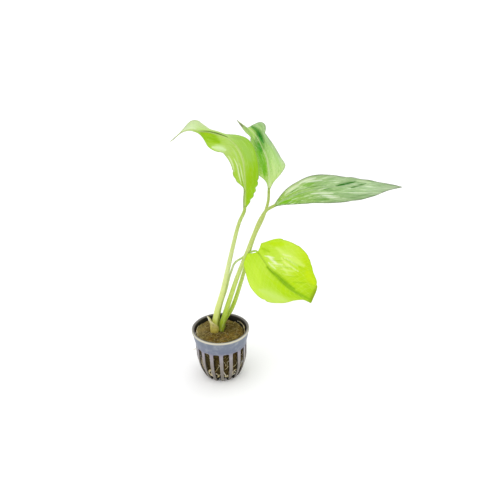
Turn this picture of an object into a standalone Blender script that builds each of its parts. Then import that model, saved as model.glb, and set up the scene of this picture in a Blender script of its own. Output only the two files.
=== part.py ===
"""Young marble-leaf sword plant in a slotted net pot.

The pot stands on its base at the origin, +Z up, and is seen from -Y. A fibrous
plug hangs wedged in the pot's collar. Its core holds the rootstock, from which
four leaves rise on long stalks and eight roots run down the core, under the
plug and up behind the slots.
"""

import math

import bmesh
import bpy
from mathutils import Vector

MM = 0.001
GAP = 0.3 * MM  # left between pieces that touch

# Net pot
POT_HEIGHT = 46.0 * MM
RIM_RADIUS = 25.0 * MM
LIP_HEIGHT = 1.5 * MM
LIP_OVERHANG = 0.8 * MM
NECK_DROP = 6.7 * MM  # rim down to where the neck starts to narrow
NECK_TAPER = 0.4 * MM
WAIST_DROP = 12.0 * MM  # rim down to where the neck has narrowed
WAIST_RADIUS = 22.5 * MM
COLLAR_DEPTH = 13.5 * MM  # rim down to the tops of the slots
BODY_RADIUS = 22.0 * MM
FLANK_HEIGHT = 24.0 * MM  # above this the body is nearly upright
BASE_RADIUS = 15.0 * MM
BASE_CHAMFER = 1.0 * MM
WALL = 1.2 * MM
FLOOR = 1.4 * MM
RIB_COUNT = 16
RIB_TOP_WIDTH = 3.3 * MM
RIB_FOOT_WIDTH = 2.6 * MM
HUB_RADIUS = 11.0 * MM  # solid disc in the middle of the base

# Fibrous plug
PLUG_DROP = 3.5 * MM  # rim down to the top of the plug
PLUG_TOP_SPACE = 0.8 * MM
PLUG_CHAMFER = 1.5 * MM
CORE_X = -2.0 * MM
CORE_Y = 4.4 * MM
CORE_RADIUS = 9.0 * MM

# Rootstock and the cut sheath of an old leaf
CROWN_DROP = 1.3 * MM  # top of the plug down to the rootstock
ROOTSTOCK_TOP_RADIUS = 7.2 * MM
ROOTSTOCK_FOOT_RADIUS = 4.6 * MM
ROOTSTOCK_LENGTH = 14.0 * MM
STUB_HEIGHT = 17.0 * MM
STUB_LEAN = 2.2 * MM  # to the right over its height, as the left stalk leans
STUB_THICKNESS = 0.8 * MM
STUB_HALF_ARC = math.radians(115)
STUB_FOOT_DIRECTION = math.radians(240)
STUB_TIP_DIRECTION = math.radians(188)
STUB_FLARE = 4.6 * MM

# Leaves
PLANT_HEIGHT = 193.5 * MM  # highest midrib point above the plug
BLADE_THICKNESS = 0.45 * MM
STALK_FOOT_RISE = 2.5 * MM  # upright first stretch of each stalk
NECK_CLEARANCE = 1.6  # radii left where a blade turns off its stalk

# Roots
ROOT_RADIUS = 0.55 * MM
ROOT_CLEARANCE = 0.45 * MM  # on each side of a root behind the ribs
UNDER_CLEARANCE = 0.65 * MM  # above and below a root under the plug
ROOT_CIRCLE = 3.6 * MM  # how far from the core's axis the roots start
ROOT_STEP = 4.0 * MM  # between the points that set a root's route

TURN_STEPS = 48
BLADE_ROWS = 24
BLADE_COLUMNS = 8

ROOT_SPACE = 2 * (ROOT_RADIUS + ROOT_CLEARANCE)  # between the plug and the ribs
UNDER_SPACE = 2 * (ROOT_RADIUS + UNDER_CLEARANCE)  # between the plug and the floor
PLUG_TOP = POT_HEIGHT - PLUG_DROP
PLUG_BOTTOM = FLOOR + UNDER_SPACE
SLOT_TOP = POT_HEIGHT - COLLAR_DEPTH
CROWN = PLUG_TOP - CROWN_DROP
RIB_PITCH = 2 * math.pi / RIB_COUNT

# A leaf's stations run along its midrib from base to tip. Each gives a place in
# millimetres (right, away, above the plug), the way the upper side faces, the
# widths of the left and right halves in millimetres, and how far each half is
# folded up from flat, in degrees. Left and right are as seen from above with
# the tip pointing away.
LEFT_LEAF = dict(
    name="left",
    foot=(-5.4, 2.0),
    stalk=[(-2.8, 2, 17), (3.6, 2, 39), (9.3, 1, 63), (13.9, 0, 82.5), (20.7, 0, 107)],
    foot_radius=2.7,
    neck_radius=1.3,
    lobes=(0, 0),
    stations=[
        ((25.5, 0, 119), (0.3, -0.85, 0.45), (0.9, 0.9), (10, 10)),
        ((26, -0.5, 128), (0.3, -0.85, 0.45), (0.9, 6), (15, 15)),
        ((26.5, -1, 137), (0.3, -0.85, 0.45), (1.2, 9.5), (15, 15)),
        ((26.5, -2, 149), (0.2, -0.9, 0.4), (9, 11.5), (12, 15)),
        ((26, -3, 162), (0.05, -0.85, 0.5), (10.5, 11.5), (10, 0)),
        ((22.5, -5, 174), (-0.1, -0.75, 0.65), (11.5, 12), (-5, -20)),
        ((16, -7, 183), (-0.1, -0.6, 0.8), (12, 10), (-10, -48)),
        ((7.5, -8, 188), (-0.1, -0.6, 0.8), (13.5, 9.5), (-12, -50)),
        ((0, -8, 190.5), (-0.1, -0.5, 0.85), (10.5, 9.5), (-25, -38)),
        ((-6.5, -8, 191.5), (-0.1, -0.5, 0.85), (2.5, 9), (-60, -5)),
        ((-13, -8, 193.5), (-0.1, -0.6, 0.8), (2, 7.5), (-60, 10)),
        ((-19.5, -7, 192), (-0.3, -0.6, 0.8), (1, 2), (-60, 10)),
        ((-31, -5, 182.5), (-0.5, -0.6, 0.7), (0.3, 0.3), (-60, 10)),
    ],
)
BACK_LEAF = dict(
    name="back",
    foot=(2.0, 7.9),
    stalk=[
        (10.8, 8.5, 18.5), (19.6, 9, 44), (23.1, 9, 56), (29.4, 9, 79), (33.1, 10, 89),
        (40.4, 12, 104), (45.3, 14, 119),
    ],
    foot_radius=2.0,
    neck_radius=1.1,
    lobes=(0, 0),
    stations=[
        ((46, 15, 128), (0.1, -0.9, 0.3), (0.8, 0.8), (0, 0)),
        ((46.5, 16, 134), (0.1, -0.9, 0.3), (2.5, 3.5), (20, 0)),
        ((46.5, 17, 140.5), (0.1, -0.9, 0.3), (7.5, 9.8), (25, 5)),
        ((46, 17, 147), (0.1, -0.9, 0.3), (11, 14.2), (25, 8)),
        ((45, 18, 154.5), (0.1, -0.9, 0.3), (12, 11.2), (30, 10)),
        ((41.5, 20, 164.5), (0, -0.9, 0.4), (10.5, 9), (40, 10)),
        ((38, 20, 172.5), (0, -0.8, 0.5), (8.5, 8), (35, 0)),
        ((35, 20, 177.5), (0, -0.7, 0.6), (6.5, 11), (25, 0)),
        ((33, 19.6, 179.6), (0, -0.65, 0.65), (5.8, 6), (18, 0)),
        ((31, 19, 181.5), (0, -0.6, 0.7), (5, 1.5), (10, 0)),
        ((22, 18, 189.5), (0, -0.6, 0.7), (0.3, 0.3), (0, 0)),
    ],
)
RIGHT_LEAF = dict(
    name="right",
    foot=(0.7, 3.1),
    stalk=[
        (4.6, 3, 16), (9.1, 3, 30), (17.4, 2, 55), (25.9, 1, 77.5), (32.3, 1, 94.5),
        (39, 1, 110), (43.5, 1.2, 116.3),
    ],
    foot_radius=2.4,
    neck_radius=1.2,
    lobes=(0, 0),
    stations=[
        ((49.5, 2, 119.5), (-0.2, -0.45, 0.9), (0.9, 0.9), (5, 5)),
        ((57, 3, 123.5), (-0.2, -0.45, 0.9), (5.5, 6), (8, 8)),
        ((68, 5, 127.5), (-0.1, -0.4, 0.95), (10.5, 12.5), (8, 8)),
        ((83, 7, 130.5), (-0.05, -0.4, 0.95), (14, 18), (8, 8)),
        ((99.5, 10, 130.5), (0, -0.35, 0.97), (13.5, 20.5), (5, 8)),
        ((114.5, 12, 130), (0, -0.35, 0.97), (10.5, 18.5), (0, 5)),
        ((129.5, 14, 129), (0, -0.35, 0.97), (6.5, 13), (0, 0)),
        ((143.5, 16, 127), (0.05, -0.3, 0.97), (3.5, 6), (0, 0)),
        ((157, 18, 124.5), (0.1, -0.3, 0.97), (0.3, 0.3), (0, 0)),
    ],
)
LOW_LEAF = dict(
    name="low",
    foot=(-2.2, 6.9),
    stalk=[(2.0, 5.6, 25), (6.5, 5, 39), (11.5, 5, 56.7), (15.9, 5, 66.3), (21.3, 5, 70), (28, 4, 75.5)],
    foot_radius=1.2,
    neck_radius=0.8,
    lobes=(4.0, 3.5),
    stations=[
        ((34.5, 0, 78), (0.1, -0.75, 0.65), (7, 8), (10, 10)),
        ((36, -1.5, 76.4), (0.12, -0.73, 0.67), (18, 14), (12, 8)),
        ((39.5, -5, 72.5), (0.15, -0.7, 0.7), (26, 19), (15, 5)),
        ((45.5, -9, 65), (0.2, -0.65, 0.75), (31, 24), (15, 0)),
        ((50.5, -12, 60.5), (0.2, -0.6, 0.75), (32, 25), (12, 0)),
        ((56, -15, 55), (0.25, -0.6, 0.75), (31.5, 22), (10, -5)),
        ((61.5, -17, 50), (0.25, -0.6, 0.75), (30, 14.5), (8, -10)),
        ((67, -19, 46.5), (0.3, -0.6, 0.75), (26.5, 6.5), (8, -30)),
        ((72, -19.7, 42.8), (0.3, -0.6, 0.75), (21, 1.7), (12, -45)),
        ((75.5, -20, 40), (0.3, -0.6, 0.75), (16, 0.8), (15, -60)),
        ((77.3, -20, 38.6), (0.3, -0.6, 0.75), (11.5, 0.6), (15, -60)),
        ((78, -20, 38), (0.3, -0.6, 0.75), (1, 0.5), (15, -60)),
    ],
)
LEAVES = [LEFT_LEAF, BACK_LEAF, RIGHT_LEAF, LOW_LEAF]
DRAWN_HEIGHT = max(place[2] for leaf in LEAVES for place, *_ in leaf["stations"]) * MM
GROWTH = PLANT_HEIGHT / DRAWN_HEIGHT

# Each root runs out under the plug and up behind the ribs. start is the slot it
# runs out behind, drift how many slots further round it ends, rise how far up
# the slots it climbs as a share of their height, and reach how far past the
# ribs its tip comes out, in radii of the root.
ROOTS = [
    dict(start=0, drift=0.6, rise=0.75, reach=None),
    dict(start=2, drift=-0.5, rise=0.5, reach=None),
    dict(start=4, drift=0.7, rise=0.82, reach=None),
    dict(start=6, drift=-0.4, rise=0.6, reach=None),
    dict(start=8, drift=0.0, rise=0.80, reach=7.0),
    dict(start=10, drift=0.0, rise=0.22, reach=2.5),
    dict(start=12, drift=-0.5, rise=0.35, reach=None),
    dict(start=13, drift=0.0, rise=0.2, reach=2.0),
]


def reset_scene():
    """Remove every object and the collections left over from another run."""
    for thing in list(bpy.data.objects):
        bpy.data.objects.remove(thing, do_unlink=True)
    for name in ("Potted sword plant", "Cutters"):
        if name in bpy.data.collections:
            bpy.data.collections.remove(bpy.data.collections[name])


def new_collection(name):
    collection = bpy.data.collections.new(name)
    bpy.context.scene.collection.children.link(collection)
    return collection


def material(name, colour, roughness, metallic=0.0):
    """A Principled material. The colour is linear RGB."""
    made = bpy.data.materials.new(name)
    made.use_nodes = True
    shader = made.node_tree.nodes["Principled BSDF"]
    shader.inputs["Base Color"].default_value = (*colour, 1.0)
    shader.inputs["Roughness"].default_value = roughness
    shader.inputs["Metallic"].default_value = metallic
    made.diffuse_color = (*colour, 1.0)
    return made


def pot_plastic():
    return material("Pot plastic", (0.42, 0.41, 0.46), 0.45)


def mineral_wool():
    return material("Mineral wool", (0.20, 0.13, 0.05), 0.95)


def rootstock_skin():
    return material("Rootstock skin", (0.45, 0.36, 0.20), 0.7)


def dry_sheath():
    return material("Dry sheath", (0.72, 0.62, 0.36), 0.6)


def stalk_skin():
    return material("Stalk skin", (0.30, 0.36, 0.10), 0.4)


def leaf_skin(name):
    colours = {
        "left": (0.32, 0.55, 0.08),
        "back": (0.28, 0.50, 0.12),
        "right": (0.33, 0.47, 0.24),
        "low": (0.42, 0.60, 0.03),
    }
    return material("Leaf skin " + name, colours[name], 0.35)


def root_skin():
    return material("Root skin", (0.75, 0.68, 0.50), 0.6)


def mesh_object(name, mesh, collection, skin=None):
    made = bpy.data.objects.new(name, mesh)
    collection.objects.link(made)
    if skin:
        mesh.materials.append(skin)
    return made


def smooth(made, sharp_angle=35):
    made.data.shade_smooth()
    made.data.set_sharp_from_angle(angle=math.radians(sharp_angle))


def turned(name, profile, collection, skin, steps=TURN_STEPS):
    """Turn a profile of (radius, height) about the Z axis."""
    mesh = bpy.data.meshes.new(name)
    points = [(radius, 0.0, height) for radius, height in profile]
    mesh.from_pydata(points, [(i, i + 1) for i in range(len(points) - 1)], [])
    made = mesh_object(name, mesh, collection, skin)
    screw = made.modifiers.new("Turn", "SCREW")
    screw.steps = steps
    screw.render_steps = steps
    screw.use_merge_vertices = True
    screw.merge_threshold = 0.00001
    screw.use_smooth_shade = True
    return made


def cutter(name, bm, collection):
    mesh = bpy.data.meshes.new(name)
    bmesh.ops.recalc_face_normals(bm, faces=bm.faces)
    bm.to_mesh(mesh)
    bm.free()
    made = mesh_object(name, mesh, collection)
    made.hide_render = True
    made.display_type = "WIRE"
    return made


def cut(made, tool):
    boolean = made.modifiers.new("Cut " + tool.name, "BOOLEAN")
    boolean.operation = "DIFFERENCE"
    boolean.solver = "EXACT"
    boolean.object = tool


def interpolate(values, knots, share):
    """Read a smooth curve through values, which stand at the knots, at share."""
    last = len(values) - 1
    i = 0
    while i < last - 1 and share > knots[i + 1]:
        i += 1

    def slope(k):
        before = max(k - 1, 0)
        after = min(k + 1, last)
        if before == k or after == k:
            return (values[after] - values[before]) / (knots[after] - knots[before])
        back = knots[k] - knots[before]
        ahead = knots[after] - knots[k]
        rise_back = (values[k] - values[before]) / back
        rise_ahead = (values[after] - values[k]) / ahead
        return (rise_back * ahead + rise_ahead * back) / (back + ahead)

    span = knots[i + 1] - knots[i]
    t = (share - knots[i]) / span
    start = values[i] * (2 * t**3 - 3 * t**2 + 1) + slope(i) * (span * (t**3 - 2 * t**2 + t))
    end = values[i + 1] * (3 * t**2 - 2 * t**3) + slope(i + 1) * (span * (t**3 - t**2))
    return start + end


def length_knots(points):
    """Each point's share of the way along the line through all the points."""
    reached = [0.0]
    for a, b in zip(points, points[1:]):
        reached.append(reached[-1] + (b - a).length)
    return [value / reached[-1] for value in reached]


def tube(name, points, radii, samples, sides_level, collection, skin):
    """A round tube along a smooth curve through points, with a radius at each."""
    knots = length_knots(points)
    curve = bpy.data.curves.new(name, "CURVE")
    curve.dimensions = "3D"
    curve.bevel_depth = MM
    curve.bevel_resolution = sides_level
    curve.use_fill_caps = True
    spline = curve.splines.new("POLY")
    spline.points.add(samples - 1)
    for k, point in enumerate(spline.points):
        share = k / (samples - 1)
        point.co = (*interpolate(points, knots, share), 1.0)
        point.radius = interpolate(radii, knots, share) / MM
    curve.materials.append(skin)
    made = bpy.data.objects.new(name, curve)
    collection.objects.link(made)
    return made


def flank_radius(height):
    """Outer radius of the pot where its flank curves in to the base."""
    inset = BODY_RADIUS - BASE_RADIUS
    arc = (FLANK_HEIGHT**2 + inset**2) / (2 * inset)
    return BODY_RADIUS - arc + math.sqrt(arc**2 - (FLANK_HEIGHT - height) ** 2)


def wall_breaks():
    """Outer radius and height where the pot's upper wall changes slope, top first."""
    under_lip = RIM_RADIUS - LIP_OVERHANG
    return [
        (under_lip, POT_HEIGHT - LIP_HEIGHT),
        (under_lip - NECK_TAPER, POT_HEIGHT - NECK_DROP),
        (WAIST_RADIUS, POT_HEIGHT - WAIST_DROP),
        (BODY_RADIUS, FLANK_HEIGHT),
    ]


def outer_radius(height):
    breaks = wall_breaks()
    if height <= FLANK_HEIGHT:
        return flank_radius(max(height, 0.0))
    for (upper_radius, upper), (lower_radius, lower) in zip(breaks, breaks[1:]):
        if height >= lower:
            share = min((height - lower) / (upper - lower), 1.0)
            return lower_radius + share * (upper_radius - lower_radius)
    return BODY_RADIUS


def inner_radius(height):
    return outer_radius(height) - WALL


def flank_heights(lowest, count):
    """Even steps down the curved flank, from just below its top to lowest."""
    return [FLANK_HEIGHT + (lowest - FLANK_HEIGHT) * k / count for k in range(1, count + 1)]


def pot_profile():
    """Up the inside from the floor's centre, over the rim and down the outside."""
    inside = [(inner_radius(z), z) for z in reversed(flank_heights(FLOOR, 5))]
    inside += [(radius - WALL, z) for radius, z in reversed(wall_breaks())]
    rim = [
        (RIM_RADIUS - LIP_OVERHANG - WALL, POT_HEIGHT),
        (RIM_RADIUS, POT_HEIGHT),
        (RIM_RADIUS, POT_HEIGHT - LIP_HEIGHT),
    ]
    outside = wall_breaks()
    outside += [(outer_radius(z), z) for z in flank_heights(BASE_CHAMFER, 5)]
    foot = (outer_radius(BASE_CHAMFER) - BASE_CHAMFER, 0.0)
    return [(0.0, FLOOR)] + inside + rim + outside + [foot, (0.0, 0.0)]


def rib_width(height):
    share = height / SLOT_TOP
    return RIB_FOOT_WIDTH + share * (RIB_TOP_WIDTH - RIB_FOOT_WIDTH)


def slot_cutter(collection):
    """One wedge for each slot. Its sides are parallel to the ribs beside it."""
    bm = bmesh.new()
    half_pitch = RIB_PITCH / 2
    below = -BASE_CHAMFER
    for k in range(RIB_COUNT):
        middle = (k + 0.5) * RIB_PITCH
        outward = Vector((math.cos(middle), math.sin(middle), 0.0))
        across = Vector((-math.sin(middle), math.cos(middle), 0.0))
        for vert in bmesh.ops.create_cube(bm, size=2.0)["verts"]:
            height = SLOT_TOP if vert.co.z > 0 else below
            reach = 1.2 * RIM_RADIUS if vert.co.x > 0 else HUB_RADIUS
            apex = rib_width(height) / 2 / math.sin(half_pitch)
            side = math.copysign((reach - apex) * math.tan(half_pitch), vert.co.y)
            vert.co = outward * reach + across * side + Vector((0.0, 0.0, height))
    return cutter("Slot cutter", bm, collection)


def build_net_pot(parts, cutters):
    pot = turned("net_pot", pot_profile(), parts, pot_plastic())
    cut(pot, slot_cutter(cutters))
    return pot


def plug_space(height):
    """How far the plug stays inside the pot's inner wall at a height."""
    waist = POT_HEIGHT - WAIST_DROP
    if height >= waist:
        share = (height - waist) / (PLUG_TOP - waist)
        return GAP + share * (PLUG_TOP_SPACE - GAP)
    share = min((waist - height) / (waist - SLOT_TOP), 1.0)
    return GAP + share * (ROOT_SPACE - GAP)


def plug_profile():
    edge = PLUG_CHAMFER
    heights = [PLUG_TOP - edge, POT_HEIGHT - WAIST_DROP, SLOT_TOP, FLANK_HEIGHT]
    heights += flank_heights(PLUG_BOTTOM + edge, 4)
    side = [(inner_radius(z) - plug_space(z), z) for z in heights]
    top = (side[0][0] - edge, PLUG_TOP)
    foot = (side[-1][0] - edge, PLUG_BOTTOM)
    return [(0.0, PLUG_TOP), top] + side + [foot, (0.0, PLUG_BOTTOM)]


def core_cutter(collection):
    bm = bmesh.new()
    made = bmesh.ops.create_cone(
        bm, cap_ends=True, segments=32, radius1=CORE_RADIUS, radius2=CORE_RADIUS, depth=2 * POT_HEIGHT
    )
    bmesh.ops.translate(bm, verts=made["verts"], vec=(CORE_X, CORE_Y, POT_HEIGHT / 2))
    return cutter("Core cutter", bm, collection)


def build_plug(parts, cutters):
    plug = turned("rockwool_plug", plug_profile(), parts, mineral_wool())
    cut(plug, core_cutter(cutters))
    return plug


def build_rootstock(parts):
    """A short knobbly body of growth rings, widest at the crown."""
    rings = 6
    profile = [(0.0, CROWN), (ROOTSTOCK_TOP_RADIUS - 0.8 * MM, CROWN)]
    for k in range(rings + 1):
        share = k / rings
        radius = ROOTSTOCK_TOP_RADIUS + share * (ROOTSTOCK_FOOT_RADIUS - ROOTSTOCK_TOP_RADIUS)
        height = CROWN - 0.8 * MM - share * (ROOTSTOCK_LENGTH - 1.6 * MM)
        profile.append((radius - (0.35 * MM if k % 2 else 0.0), height))
    profile.append((ROOTSTOCK_FOOT_RADIUS - 0.8 * MM, CROWN - ROOTSTOCK_LENGTH))
    profile.append((0.0, CROWN - ROOTSTOCK_LENGTH))
    rootstock = turned("rhizome", profile, parts, rootstock_skin(), steps=24)
    rootstock.location = (CORE_X, CORE_Y, 0.0)


def foot_point(leaf, rise=0.0):
    """Where a leaf's stalk stands on the rootstock, or rise above that."""
    x, y = leaf["foot"]
    return Vector((x * MM, y * MM, CROWN + GAP + rise))


def grown(place):
    """A leaf point in metres, from its millimetres above the middle of the plug."""
    return Vector(place) * (MM * GROWTH) + Vector((0.0, 0.0, PLUG_TOP))


def build_stalk(leaf, parts):
    """A tapering stalk from the rootstock to just short of the blade's base."""
    middle = [grown(place) for place in leaf["stalk"]]
    blade_base = grown(leaf["stations"][0][0])
    blade_next = grown(leaf["stations"][1][0])
    arriving = (blade_base - middle[-1]).normalized()
    turning = math.sin(arriving.angle(blade_next - blade_base))
    neck = leaf["neck_radius"] * MM
    end = blade_base - arriving * (GAP + NECK_CLEARANCE * neck * turning)
    points = [foot_point(leaf), foot_point(leaf, STALK_FOOT_RISE)] + middle + [end]
    knots = length_knots(points)
    foot = leaf["foot_radius"] * MM
    radii = [foot + (neck - foot) * share**0.8 for share in knots]
    name = "leaf_stalk_" + leaf["name"]
    return tube(name, points, radii, 22, 2, parts, stalk_skin())


def blade_point(leaf, knots, along, across):
    """A point of a blade. across runs from -1, the left margin, to 1, the right."""
    stations = leaf["stations"]
    places = [grown(place) for place, *_ in stations]
    facings = [Vector(facing) for _, facing, *_ in stations]
    side = 1 if across > 0 else 0
    widths = [station[2][side] * MM * GROWTH for station in stations]
    folds = [math.radians(station[3][side]) for station in stations]
    step = 0.001
    ahead = interpolate(places, knots, min(along + step, 1.0))
    behind = interpolate(places, knots, max(along - step, 0.0))
    forward = (ahead - behind).normalized()
    facing = interpolate(facings, knots, along)
    facing = (facing - forward * facing.dot(forward)).normalized()
    outward = forward.cross(facing) * (1.0 if across > 0 else -1.0)
    share = abs(across)
    width = max(interpolate(widths, knots, along), 0.2 * MM) * share
    bend = interpolate(folds, knots, along) * (0.35 + 0.65 * share)
    sweep = leaf["lobes"][side] * MM * (1 - along) ** 9 * share**1.3
    place = interpolate(places, knots, along)
    return place + outward * width * math.cos(bend) + facing * width * math.sin(bend) - forward * sweep


def build_blade(leaf, parts):
    """A thin leaf blade: a grid laid along the midrib, made solid by a thickness."""
    knots = length_knots([grown(place) for place, *_ in leaf["stations"]])
    bm = bmesh.new()
    bmesh.ops.create_grid(bm, x_segments=BLADE_ROWS, y_segments=BLADE_COLUMNS, size=1.0)
    for vert in bm.verts:
        vert.co = blade_point(leaf, knots, (vert.co.x + 1) / 2, -vert.co.y)
    name = "leaf_blade_" + leaf["name"]
    mesh = bpy.data.meshes.new(name)
    bm.to_mesh(mesh)
    bm.free()
    blade = mesh_object(name, mesh, parts, leaf_skin(leaf["name"]))
    smooth(blade, 60)
    solid = blade.modifiers.new("Thickness", "SOLIDIFY")
    solid.thickness = BLADE_THICKNESS
    solid.offset = 0.0
    return blade


def build_stub(parts):
    """The cut sheath of an old leaf, a flake that curls round the left stalk's foot."""
    centre = foot_point(LEFT_LEAF)
    inner = LEFT_LEAF["foot_radius"] * MM + GAP + STUB_THICKNESS
    bm = bmesh.new()
    bmesh.ops.create_grid(bm, x_segments=8, y_segments=12, size=1.0)
    for vert in bm.verts:
        up = (vert.co.x + 1) / 2
        half_arc = STUB_HALF_ARC * (1.0 - 0.93 * up**1.8)
        middle = STUB_FOOT_DIRECTION + up * (STUB_TIP_DIRECTION - STUB_FOOT_DIRECTION)
        angle = middle - vert.co.y * half_arc
        radius = inner + STUB_FLARE * up**2
        spread = Vector((math.cos(angle) * radius, math.sin(angle) * radius, 0.0))
        vert.co = centre + spread + up * Vector((STUB_LEAN, 0.0, STUB_HEIGHT))
    mesh = bpy.data.meshes.new("old_stalk_stub")
    bm.to_mesh(mesh)
    bm.free()
    stub = mesh_object("old_stalk_stub", mesh, parts, dry_sheath())
    smooth(stub, 60)
    solid = stub.modifiers.new("Thickness", "SOLIDIFY")
    solid.thickness = STUB_THICKNESS
    solid.offset = 0.0
    return stub


def around(angle, radius, height):
    return Vector((math.cos(angle) * radius, math.sin(angle) * radius, height))


def steps_between(start, end):
    """Heights from start to end about ROOT_STEP apart, each with its share of the way."""
    count = max(round(abs(end - start) / ROOT_STEP), 1)
    return [(k / count, start + (end - start) * k / count) for k in range(count + 1)]


def root_points(root):
    """A root's route: down the core, out under the plug and up behind the ribs."""
    angle = (root["start"] + 0.5) * RIB_PITCH
    core = Vector((CORE_X, CORE_Y, 0.0))
    under = FLOOR + UNDER_SPACE / 2
    turn_in = inner_radius(under) - ROOT_SPACE
    top = CROWN - ROOTSTOCK_LENGTH - GAP
    points = [core + around(angle, ROOT_CIRCLE, z) for _, z in steps_between(top, under + UNDER_SPACE)]
    points.append(around(angle, HUB_RADIUS - ROOT_SPACE, under))
    points.append(around(angle, turn_in, under + ROOT_RADIUS / 2))
    lowest = PLUG_BOTTOM + PLUG_CHAMFER
    highest = lowest + root["rise"] * (SLOT_TOP - lowest)
    for share, height in steps_between(lowest, highest):
        turn = angle + share * root["drift"] * RIB_PITCH
        points.append(around(turn, inner_radius(height) - ROOT_SPACE / 2, height))
    if root["reach"]:
        past = outer_radius(highest) + root["reach"] * ROOT_RADIUS
        halfway = (past + inner_radius(highest)) / 2
        points.append(around(angle, halfway, highest + 2 * ROOT_RADIUS))
        points.append(around(angle, past, highest + ROOT_RADIUS))
    return points


def build_roots(parts):
    skin = root_skin()
    for number, root in enumerate(ROOTS, start=1):
        points = root_points(root)
        radii = [ROOT_RADIUS * (1.0 - 0.35 * share) for share in length_knots(points)]
        tube("root_" + str(number), points, radii, 26, 1, parts, skin)


def main():
    reset_scene()
    parts = new_collection("Potted sword plant")
    cutters = new_collection("Cutters")
    build_net_pot(parts, cutters)
    build_plug(parts, cutters)
    build_rootstock(parts)
    build_stub(parts)
    for leaf in LEAVES:
        build_stalk(leaf, parts)
        build_blade(leaf, parts)
    build_roots(parts)


main()
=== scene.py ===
"""The fine surfaces of a young marble-leaf sword plant in a slotted net pot.

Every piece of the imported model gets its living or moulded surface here, in the
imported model's own frame: metres, +Z up, the front faces -Y, the origin in the
middle of the pot's base.
"""

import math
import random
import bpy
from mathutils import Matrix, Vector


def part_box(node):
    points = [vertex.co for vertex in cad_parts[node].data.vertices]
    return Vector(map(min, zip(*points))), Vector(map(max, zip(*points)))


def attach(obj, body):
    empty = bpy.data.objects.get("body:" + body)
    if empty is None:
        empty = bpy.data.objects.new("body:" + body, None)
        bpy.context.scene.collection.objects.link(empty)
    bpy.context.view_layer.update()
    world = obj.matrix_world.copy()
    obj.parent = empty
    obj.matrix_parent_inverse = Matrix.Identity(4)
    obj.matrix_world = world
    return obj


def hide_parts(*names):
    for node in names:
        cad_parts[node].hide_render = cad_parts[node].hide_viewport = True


bl_info = {
    "name": "Potted Sword Plant",
    "version": (1, 0, 0),
    "blender": (4, 5, 0),
    "location": "View3D > Sidebar > Sword Plant",
    "description": "Builds a sword plant in a net pot around its packed model",
    "category": "Add Mesh",
}

import bmesh
import bpy
import numpy as np
from bpy.props import FloatProperty, FloatVectorProperty, IntProperty, PointerProperty
from mathutils import Matrix, Vector, noise

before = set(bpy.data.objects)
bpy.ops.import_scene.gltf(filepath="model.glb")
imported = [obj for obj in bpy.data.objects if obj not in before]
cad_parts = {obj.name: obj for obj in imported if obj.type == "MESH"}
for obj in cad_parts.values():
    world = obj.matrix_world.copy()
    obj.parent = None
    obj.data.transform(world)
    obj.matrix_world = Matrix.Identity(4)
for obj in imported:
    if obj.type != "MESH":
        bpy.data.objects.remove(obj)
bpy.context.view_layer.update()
MM = 0.001


def lowest(node):
    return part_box(node)[0]


def highest(node):
    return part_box(node)[1]


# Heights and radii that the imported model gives
POT_HEIGHT = highest("net_pot").z
RIM_RADIUS = highest("net_pot").x
PLUG_TOP = highest("rockwool_plug").z
PLUG_BOTTOM = lowest("rockwool_plug").z
CROWN = highest("rhizome").z
CORE = (lowest("rhizome") + highest("rhizome")) / 2

# Net pot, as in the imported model
LIP_HEIGHT = 1.5 * MM
LIP_OVERHANG = 0.8 * MM
NECK_DROP = 6.7 * MM  # rim down to where the neck starts to narrow
NECK_TAPER = 0.4 * MM
WAIST_HEIGHT = POT_HEIGHT - 12 * MM
WAIST_SWELL = 0.5 * MM  # how much wider the waist is than the body
WALL = 1.2 * MM
FLOOR = 1.4 * MM
SLOT_TOP = POT_HEIGHT - 13.5 * MM
FLANK_HEIGHT = 24.0 * MM
BODY_RADIUS = RIM_RADIUS - 3.0 * MM
BASE_RADIUS = 15.0 * MM
FOOT_CHAMFER = 1.0 * MM
HUB_RADIUS = 11.0 * MM
RIB_COUNT = 16
RIB_TOP_WIDTH = 3.3 * MM
RIB_FOOT_WIDTH = 2.6 * MM
RIB_PITCH = 2 * math.pi / RIB_COUNT

# Fibrous plug, which has shrunk from the wall on one side
PLUG_EDGE = 1.5 * MM
WAIST_GAP = 0.3 * MM
TOP_GAP = 0.4 * MM
SHRINKAGE = 2.0 * MM
SHRUNK_DEPTH = 6 * MM
SHRUNK_DIRECTION = 0.6  # round the pot, in radians
HEAP = 1.3 * MM  # rise of the top against the wall on the other side
CORE_DIP = 1.1 * MM
FOOT_DIP = 0.9 * MM  # round each stalk's foot
HOLE_DEPTH = 2.6 * MM
DEEPEST_DIP = 3.4 * MM
HOLES = [  # places and radii in millimetres
    ((1.2, -0.9), 1.3), ((-1.6, 1.2), 1.2), ((4.8, 1.2), 0.9),
]

# Sheath of the old leaf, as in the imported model
SHEATH_SPACE = 0.7 * MM  # from the stalk inside it
SHEATH_HALF_ARC = math.radians(115)
SHEATH_FOOT_DIRECTION = math.radians(240)
SHEATH_TIP_DIRECTION = math.radians(188)
SHEATH_FLARE = 4.6 * MM
SHEATH_LEAN = 2.2 * MM

# Room for the roots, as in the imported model
ROOT_SPACE = 2.0 * MM  # between the plug and the ribs
ROOT_CIRCLE = 3.6 * MM  # where the roots run down in the core
ROOT_STEP = 4 * MM
UNDER_SPACE = 2.4 * MM
UNDER_PLUG = (FLOOR + PLUG_BOTTOM) / 2

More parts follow.
